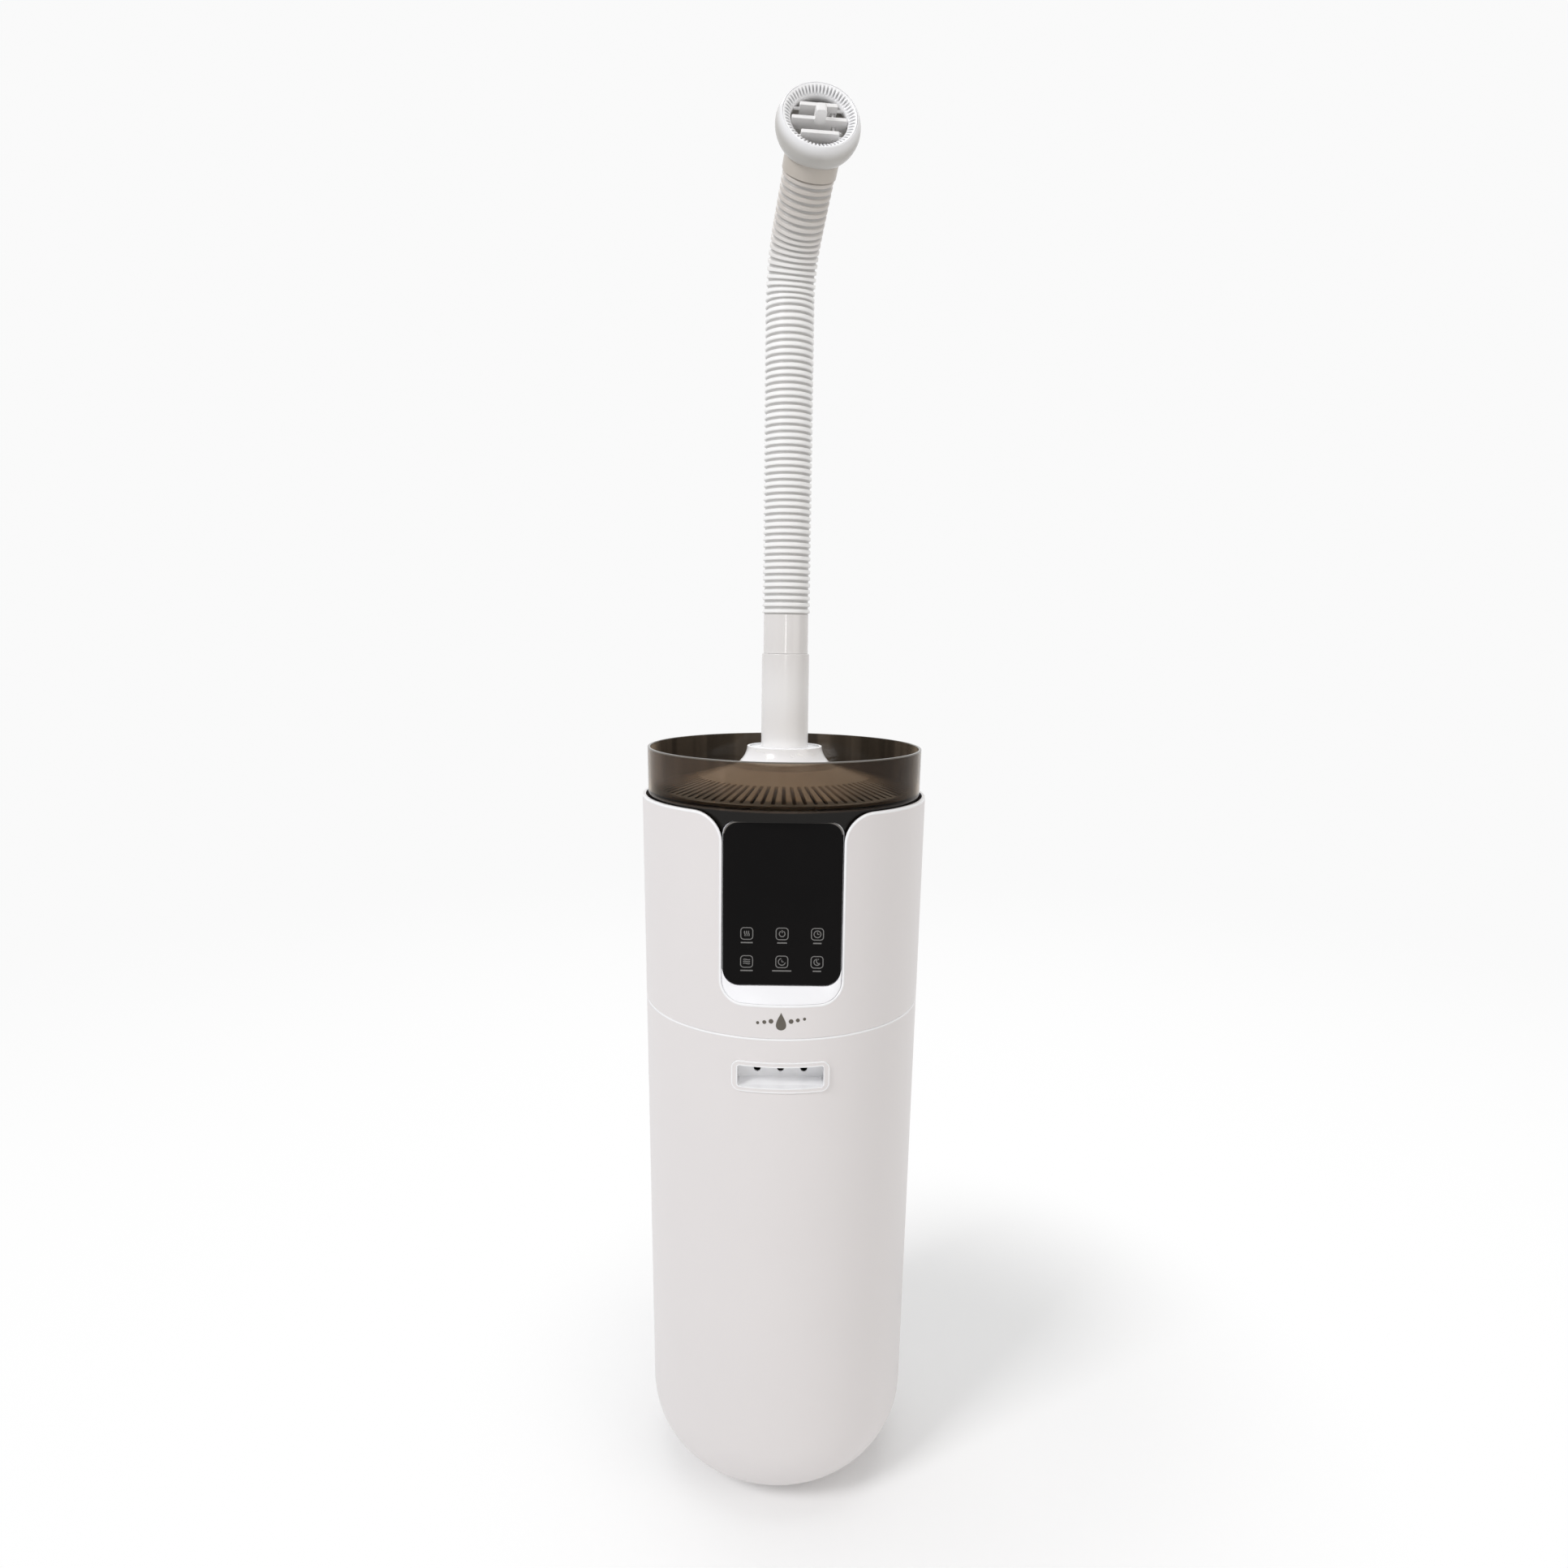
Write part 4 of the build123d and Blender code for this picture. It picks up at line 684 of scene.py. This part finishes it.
print("hose")
hose = {
    "pitch": 0.0058,
    "depth": 0.0018,
    "wall": 0.0016,
    "steep": 3.2,  # how sharply a ridge drops into its groove
    "flat": 0.28,  # value of the cosine where it drops, above 0 for a ridge wider than its groove
    "around": 72,
    "perPitch": 14,
    "split": 0.5,  # share of the middle run where the two pieces meet
}
_, leanAcross = jointFacts("hose_lower_flex")
upperFlex, _ = jointFacts("hose_upper_flex")
hoseEnd, hoseDir = jointFacts("head_swivel")
lowLow, lowHigh = nodeBox("hose_lower")
midLow, midHigh = nodeBox("hose_middle")
hoseR = (lowHigh[0] - lowLow[0]) / 2
up = np.array([0, 0, 1.0])
lean = np.array([hoseDir[0], hoseDir[1], 0.0])
lean = lean / np.linalg.norm(lean)
leanAngle = atan2(hoseDir @ lean, hoseDir[2])
bendStart = midHigh[2]
bendR = (upperFlex[2] - bendStart) / tan(leanAngle / 2)
arcLength = bendR * leanAngle
arcEnd = up * bendStart + lean * bendR * (1 - cos(leanAngle)) + up * bendR * sin(leanAngle)
straightEnd = float(np.linalg.norm(hoseEnd - arcEnd))
hoseStart = lowLow[2]
uprightRun = bendStart - hoseStart
hoseLength = uprightRun + arcLength + straightEnd
hosePitch = hoseLength / round(hoseLength / hose["pitch"])
splitAt = uprightRun - (midHigh[2] - midLow[2]) * hose["split"]
splitAt = round(splitAt / hosePitch) * hosePitch


def hoseRoute(along):
    # centre line by distance: upright, then an arc of radius bendR, then straight; gives its points
    # and its normals in the plane of the lean
    angle = np.clip((along - uprightRun) / bendR, 0, leanAngle)
    rest = np.clip(along - uprightRun - arcLength, 0, None)
    tangent = np.cos(angle)[:, None] * up + np.sin(angle)[:, None] * lean
    normal = np.cos(angle)[:, None] * lean - np.sin(angle)[:, None] * up
    z = hoseStart + np.minimum(along, uprightRun) + bendR * np.sin(angle)
    point = z[:, None] * up + (bendR * (1 - np.cos(angle)))[:, None] * lean + rest[:, None] * tangent
    return point, normal


def hosePiece(name, start, end):
    # radius by distance: a flat-topped ridge and a narrower groove each pitch, by the hyperbolic
    # tangent of a cosine, closed by a smooth bore
    steep, flat = hose["steep"], hose["flat"]
    count = int((end - start) / hosePitch * hose["perPitch"]) + 1
    along = np.linspace(start, end, count)
    wave = np.cos(2 * pi * along / hosePitch)
    ridge = np.clip(0.5 - 0.5 * np.tanh(steep * (wave - flat)) / np.tanh(steep * (1 + flat)), 0, 1)
    radius = hoseR - hose["depth"] + hose["depth"] * ridge
    bore = np.full(count, hoseR - hose["depth"] - hose["wall"])
    profileAlong = np.concatenate([along, along[::-1]])
    profileR = np.concatenate([radius, bore])
    point, normal = hoseRoute(profileAlong)
    turn = np.linspace(0, 2 * pi, hose["around"], endpoint=False)
    ring = np.cos(turn)[None, :, None] * normal[:, None, :] + np.sin(turn)[None, :, None] * leanAcross
    points = point[:, None, :] + profileR[:, None, None] * ring
    faces = gridFaces(len(profileAlong), hose["around"])
    piece = newPiece(name, points.reshape(-1, 3), faces, "hose", "hose_white")
    storeGroove(piece, np.repeat(np.concatenate([1 - ridge, np.ones(count)]), hose["around"]))
    return piece


hoseStem = hosePiece("hoseStem", 0.0, splitAt)
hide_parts("hose_lower", "hose_lower_bend")
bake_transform(hoseStem)
hoseTop = hosePiece("hoseTop", splitAt, hoseLength)
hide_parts("hose_middle", "hose_upper_bend", "hose_upper")
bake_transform(hoseTop)

print("mouth ring")
mouth = {
    "outer": 0.0293,
    "inner": 0.0228,
    "lip": 0.0010,
    "lipRound": 0.0003,
    "depth": 0.0112,
    "flare": 0.0046,
    "flareSink": 0.0004,
    "flareRows": 12,
    "front": 0.0116,
    "catch": 0.0013,
    "catchFront": 0.0053,
    "catchThick": 0.0015,
    "ribs": 56,
    "ribHeight": 0.0014,
    "ribReach": 1.15,  # the ribs run out a little before the throat
    "ribBlunt": 0.4,  # power of the sine that lifts a rib between its ends
    "ribSteep": 0.9,
    "around": 896,
}
_, outletSide = jointFacts("louver_tilt")
outletUp = np.cross(outletDir, outletSide)


def mouthRing():
    # profile round the outlet axis: wall with its catch, quarter-round lip, then a straight flare
    # that rises by a sine power into ribs, which follow a clipped cosine of the angle
    m = mouth
    outer, inner, front, small = m["outer"], m["inner"], m["front"], m["lipRound"]
    back, catchR = front - m["depth"], outer + m["catch"]
    catchFront, catchBack = m["catchFront"], m["catchFront"] - m["catchThick"]
    wall = [(inner, back), (outer, back), (outer, catchBack), (catchR, catchBack),
            (catchR, catchFront), (outer, catchFront), (outer, front - small)]
    lipTurn = np.linspace(0, pi / 2, 5)
    lip = np.stack([outer - small + small * np.cos(lipTurn), front - small + small * np.sin(lipTurn)], 1)
    share = np.linspace(0, 1, m["flareRows"])
    flareR = outer - m["lip"] - (outer - m["lip"] - inner) * share
    flare = np.stack([flareR, front - m["flareSink"] - m["flare"] * share], 1)
    radius, depth = np.concatenate([wall, lip, flare]).T
    lift = np.sin(pi * np.clip(share * m["ribReach"], 0, 1)) ** m["ribBlunt"]
    ribbed = np.concatenate([np.zeros(len(wall) + len(lip)), lift])
    turn = np.linspace(0, 2 * pi, m["around"], endpoint=False)
    wave = np.clip(0.5 + m["ribSteep"] * np.cos(m["ribs"] * turn), 0, 1)
    r = radius[:, None] - ribbed[:, None] * wave[None, :] * m["ribHeight"]
    ring = np.cos(turn)[:, None] * outletSide + np.sin(turn)[:, None] * outletUp
    points = headCentre + depth[:, None, None] * outletDir + r[:, :, None] * ring[None, :, :]
    groove = ribbed[:, None] * (1 - wave[None, :])
    return points.reshape(-1, 3), gridFaces(len(radius), m["around"]), groove.ravel()


ringPoints, ringFaces, ringGroove = mouthRing()
ringPiece = newPiece("mouthRing", ringPoints, ringFaces, "flare", "tube_white", "mouth")
storeGroove(ringPiece, ringGroove)
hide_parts("mouth_ring")

print("collar top")
collarTop = {
    "outer": 0.0320,
    "clear": 0.0004,
    "sink": 0.0006,
    "thick": 0.0012,
    "lip": 0.0005,
    "lipHeight": 0.0004,
    "around": 180,
}


def collarRing():
    # a flat ring round the tube, closing the collar's top, with a low rounded lip at its bore
    outer, lip = collarTop["outer"], collarTop["lip"]
    tubeLow, tubeHigh = nodeBox("lower_tube")
    inner = (tubeHigh[0] - tubeLow[0]) / 2 + collarTop["clear"]
    top = nodeBox("lid_collar")[1][2] - collarTop["sink"]
    low = top - collarTop["thick"]
    turn = np.linspace(pi, 0, 7)
    bore = [(inner, low), (inner, top)]
    rounded = np.stack([inner + lip + lip * np.cos(turn), top + collarTop["lipHeight"] * np.sin(turn)], 1)
    flat = [(inner + 3 * lip, top), (outer, top), (outer, low)]
    radius, height = np.concatenate([bore, rounded, flat]).T
    around = np.linspace(0, 2 * pi, collarTop["around"], endpoint=False)
    across, forth = radius[:, None] * np.cos(around), radius[:, None] * np.sin(around)
    points = np.stack([across, forth, np.repeat(height[:, None], len(around), 1)], 2)
    return points.reshape(-1, 3), gridFaces(len(radius), len(around))[:, ::-1]


ringPoints, ringFaces = collarRing()
newPiece("collarTop", ringPoints, ringFaces, "collar", "tube_white", "lid")

print("display marks")
marks = {
    "columns": (-0.0294, 0.0, 0.0294),
    "rows": (0.0445, 0.0204),  # above the glass's bottom edge
    "square": 0.0100,
    "corner": 0.0026,
    "line": 0.00075,
    "thick": 0.00005,
    "sunk": 0.00002,
    "captionDrop": 0.0078,
    "captionWidths": ((0.0100, 0.0082, 0.0070), (0.0104, 0.0160, 0.0070)),
    "captionHeight": 0.0011,
    "unit": 0.001,  # the drawings below are in millimetres
}
glassFace = glassLow[1]


def arc(centre, radius, start, end, count=24):
    # points on a circle between two angles in degrees
    turn = np.radians(np.linspace(start, end, count))
    return np.stack([centre[0] + radius * np.cos(turn), centre[1] + radius * np.sin(turn)], 1)


def roundedSquare(half, corner):
    # four quarter circles joined by straight sides
    reach = half - corner
    corners = [(reach, reach, 0), (-reach, reach, 90), (-reach, -reach, 180), (reach, -reach, 270)]
    return np.concatenate([arc((x, z), corner, turn, turn + 90, 8) for x, z, turn in corners])


def wavyLine(x, reach, swing):
    # an upright line, its reach up and down, that swings to each side by a sine of its height
    along = np.linspace(0, 1, 14)
    return np.stack([x + swing * np.sin(2 * pi * along), reach * (2 * along - 1)], 1)


def ribbon(path, width, closed):
    # a flat strip: the path offset by half the width along its own normal, front and back
    if closed:
        tangent = np.roll(path, -1, 0) - np.roll(path, 1, 0)
    else:
        tangent = np.gradient(path, axis=0)
    tangent /= np.linalg.norm(tangent, axis=1)[:, None]
    side = np.stack([-tangent[:, 1], tangent[:, 0]], 1) * width / 2
    left, right = path + side, path - side
    front, back = glassFace - marks["thick"], glassFace + marks["sunk"]
    rows = [
        np.stack([edge[:, 0], np.full(len(path), depth), edge[:, 1]], 1)
        for edge, depth in ((left, front), (right, front), (right, back), (left, back))
    ]
    faces = gridFaces(len(path), 4, closeRows=closed)
    if not closed:
        last = 4 * (len(path) - 1)
        faces = np.concatenate([faces, [[3, 2, 1, 0], [last, last + 1, last + 2, last + 3]]])
    return np.stack(rows, 1).reshape(-1, 3), faces


# each key's strokes inside its square, and whether a stroke closes
hands = [(0, 1.7), (0, 0), (1.5, 0)]
crescent = np.concatenate([arc((0, 0), 2.6, 60, 330), arc((1.5, 0.9), 2.0, 290, 100)])
keyDrawings = [
    [
        [(wavyLine(x, 2.2, 0.35), False) for x in (-1.7, 0.0, 1.7)],
        [(arc((0, 0), 2.4, 115, 425), False), ([(0, 0.6), (0, 3.2)], False)],
        [(arc((0, 0), 2.9, 0, 345), True), (hands, False)],
    ],
    [
        [(wavyLine(z, 2.9, 0.3)[:, ::-1], False) for z in (-1.7, 0.0, 1.7)],
        [(arc((0, 0), 2.9, 100, 350), False), (hands, False)],
        [(crescent, True)],
    ],
]
square = roundedSquare(marks["square"] / 2, marks["corner"])
strokes = []
for row, height in enumerate(marks["rows"]):
    for column, across in enumerate(marks["columns"]):
        centre = np.array([across, glassLow[2] + height])
        strokes.append(ribbon(square + centre, marks["line"], True))
        for path, closed in keyDrawings[row][column]:
            strokes.append(ribbon(np.asarray(path) * marks["unit"] + centre, marks["line"], closed))
        wide, drop = marks["captionWidths"][row][column] / 2, marks["captionDrop"]
        caption = np.array([(-wide, -drop), (wide, -drop)]) + centre
        strokes.append(ribbon(caption, marks["captionHeight"], False))
newPiece("keyMarks", *joined(strokes), "icon", "inner_grey", "upper_unit", smooth=False)

print("emblem")
emblem = {
    "rise": 0.0155,  # above the seam
    "height": 0.0155,
    "width": 0.0100,
    "taper": 1.6,  # power of the sine that draws the drop in to its point
    "swell": 1.25,
    "dots": (0.0040, 0.0033, 0.0026),
    "dotPitch": 0.0056,
    "dotNearer": 0.4,  # share of the pitch by which the dots stand nearer
    "dotWave": 0.0009,
    "thick": 0.00012,
}
_, shellHigh = nodeBox("upper_shell")
shellDraft = (shellHigh[0] - tankHigh[0]) / (shellHigh[2] - seamZ)


def shellR(z):
    # the shell's radius by height, which changes evenly from the seam to its top
    return shellHigh[0] - (shellHigh[2] - z) * shellDraft


def inlaid(outline):
    # a thin patch on the round shell: outline scaled from its middle, raised a little, closed behind
    middle = outline.mean(0)
    share = np.array([0.0, 0.35, 0.7, 1.0, 1.0, 0.7, 0.35, 0.0])
    raised = np.repeat([1, -1], 4) * emblem["thick"]
    flat = middle + share[:, None, None] * (outline - middle)[None]
    radius = shellR(flat[:, :, 1]) + raised[:, None]
    points = np.stack([flat[:, :, 0], -np.sqrt(radius**2 - flat[:, :, 0] ** 2), flat[:, :, 1]], 2)
    return points.reshape(-1, 3), gridFaces(len(share), len(outline), closeRows=False)


def droplet(centre, width, height):
    # a circle below that draws in to a point above, by a sine power of the turn
    turn = np.linspace(0, 2 * pi, 48, endpoint=False)
    x = width / 2 * np.sin(turn) * np.sin(turn / 2) ** emblem["taper"] * emblem["swell"]
    z = height / 2 * np.cos(turn)
    return np.stack([centre[0] + x, centre[1] + z], 1)


emblemZ = seamZ + emblem["rise"]
outlines = [droplet((0, emblemZ), emblem["width"], emblem["height"])]
for side in (-1, 1):
    for step, size in enumerate(emblem["dots"], 1):
        place = side * (emblem["width"] / 2 + emblem["dotPitch"] * (step - emblem["dotNearer"]))
        lift = side * emblem["dotWave"] * (step - 1)
        outlines.append(arc((place, emblemZ + lift), size / 2, 0, 345))
patches = joined([inlaid(outline) for outline in outlines])
newPiece("emblemDroplet", *patches, "emblem", "inner_grey", "upper_unit", smooth=False)

print("camera and light")
view = {
    "lens": 24.2236,  # millimetres, as is the sensor
    "sensor": 36,
    "pitch": radians(8.29),
    "roll": radians(0.71),
    "distance": 0.968,
    "height": 0.8013,
}
forward = Vector((0, cos(view["pitch"]), -sin(view["pitch"])))
right = Vector((1, 0, 0))
upward = right.cross(forward)
camRight = cos(view["roll"]) * right + sin(view["roll"]) * upward
camUp = -sin(view["roll"]) * right + cos(view["roll"]) * upward
cameraData = bpy.data.cameras.new("camera")
cameraData.lens = view["lens"]
cameraData.sensor_width = view["sensor"]
camera = bpy.data.objects.new("camera", cameraData)
bpy.context.scene.collection.objects.link(camera)
camera.matrix_world = Matrix((
    (camRight.x, camUp.x, -forward.x, 0),
    (camRight.y, camUp.y, -forward.y, -view["distance"]),
    (camRight.z, camUp.z, -forward.z, view["height"]),
    (0, 0, 0, 1),
))
bpy.context.scene.camera = camera

lights = {
    "key": {"place": (-2.0, -1.9, 2.5), "size": 0.95, "power": 50, "color": (0.995, 0.99, 1.0)},
    "fill": {"place": (2.4, -1.6, 1.6), "size": 2.0, "power": 20.5, "color": (1.0, 0.955, 0.91)},
    "front": {"place": (0.0, -1.5, 0.79), "size": 0.12, "power": 0.6, "color": (1.0, 1.0, 1.0)},
    "top": {"place": (0.0, 0.6, 3.2), "size": 2.6, "power": 33, "color": (1.0, 1.0, 1.0)},
}
lightAim = Vector((0, 0, 0.6))
for name, light in lights.items():
    data = bpy.data.lights.new(name, "AREA")
    data.size = light["size"]
    data.energy = light["power"]
    data.color = light["color"]
    lamp = bpy.data.objects.new(name, data)
    bpy.context.scene.collection.objects.link(lamp)
    lamp.location = light["place"]
    lamp.rotation_euler = (lightAim - Vector(light["place"])).to_track_quat("-Z", "Y").to_euler()

surround = {
    "light": (0.93, 0.94, 0.95),
    "strength": 0.38,
    "backdrop": (0.955, 0.955, 0.955),
}
world = bpy.data.worlds.new("world")
bpy.context.scene.world = world
world.use_nodes = True
sky = Graph(world.node_tree)
ambient = sky.nodes["Background"]
sky.put(surround["light"], ambient.inputs["Color"])
sky.put(surround["strength"], ambient.inputs["Strength"])
backdrop = sky.node("ShaderNodeBackground", {}, surround["backdrop"], 1.0)
sky.show(sky.seen(), Sock(sky, ambient.outputs[0]), backdrop, "World Output")

ground = {
    "half": 6.0,
    "roughness": 0.9,
    "dark": (0.93, 0.93, 0.93),
    "pale": (0.95, 0.95, 0.95),
    "patchScale": 3.0,
    "middle": (0.14, 0.06),  # of the object's shadow
    "fade": (0.16, 0.5),  # distances over which the floor turns to backdrop
    "lift": (0.07, 0.07, 0.07),
    "close": (1.0, 1.0, 1.0),
    "distant": (0.955, 0.955, 0.955),
    "horizon": (0.6, 2.6),
}


def paleFloor(name):
    # pale grey by a slow noise; where it is seen it is lifted a little round the shadow's middle,
    # and turns to plain backdrop white by the distance from there
    shader = Shader(name, roughness=ground["roughness"], specular=0.0)
    patches = shader.noise(ground["patchScale"])
    shader.feed("Base Color", shader.mix(patches, ground["dark"], ground["pale"]))
    x, y, _ = shader.xyz()
    x, y = x - ground["middle"][0], y - ground["middle"][1]
    distance = (x * x + y * y) ** 0.5
    seen = shader.seen()
    shader.feed("Emission Color", shader.mix(seen, (0.0, 0.0, 0.0), ground["lift"]))
    shader.feed("Emission Strength", 1.0)
    beyond = shader.mix(distance.over(*ground["horizon"]), ground["close"], ground["distant"])
    glow = shader.node("ShaderNodeEmission", {}, beyond, 1.0)
    shader.layer(distance.over(*ground["fade"]) * seen, glow)
    return shader.material


half = ground["half"]
floorMesh = bpy.data.meshes.new("floor")
corners = [(-half, -half, 0), (half, -half, 0), (half, half, 0), (-half, half, 0)]
floorMesh.from_pydata(corners, [], [(0, 1, 2, 3)])
floor = bpy.data.objects.new("floor", floorMesh)
bpy.context.scene.collection.objects.link(floor)
floorMesh.materials.append(paleFloor("paleFloor"))
bpy.context.scene.view_settings.view_transform = "Standard"
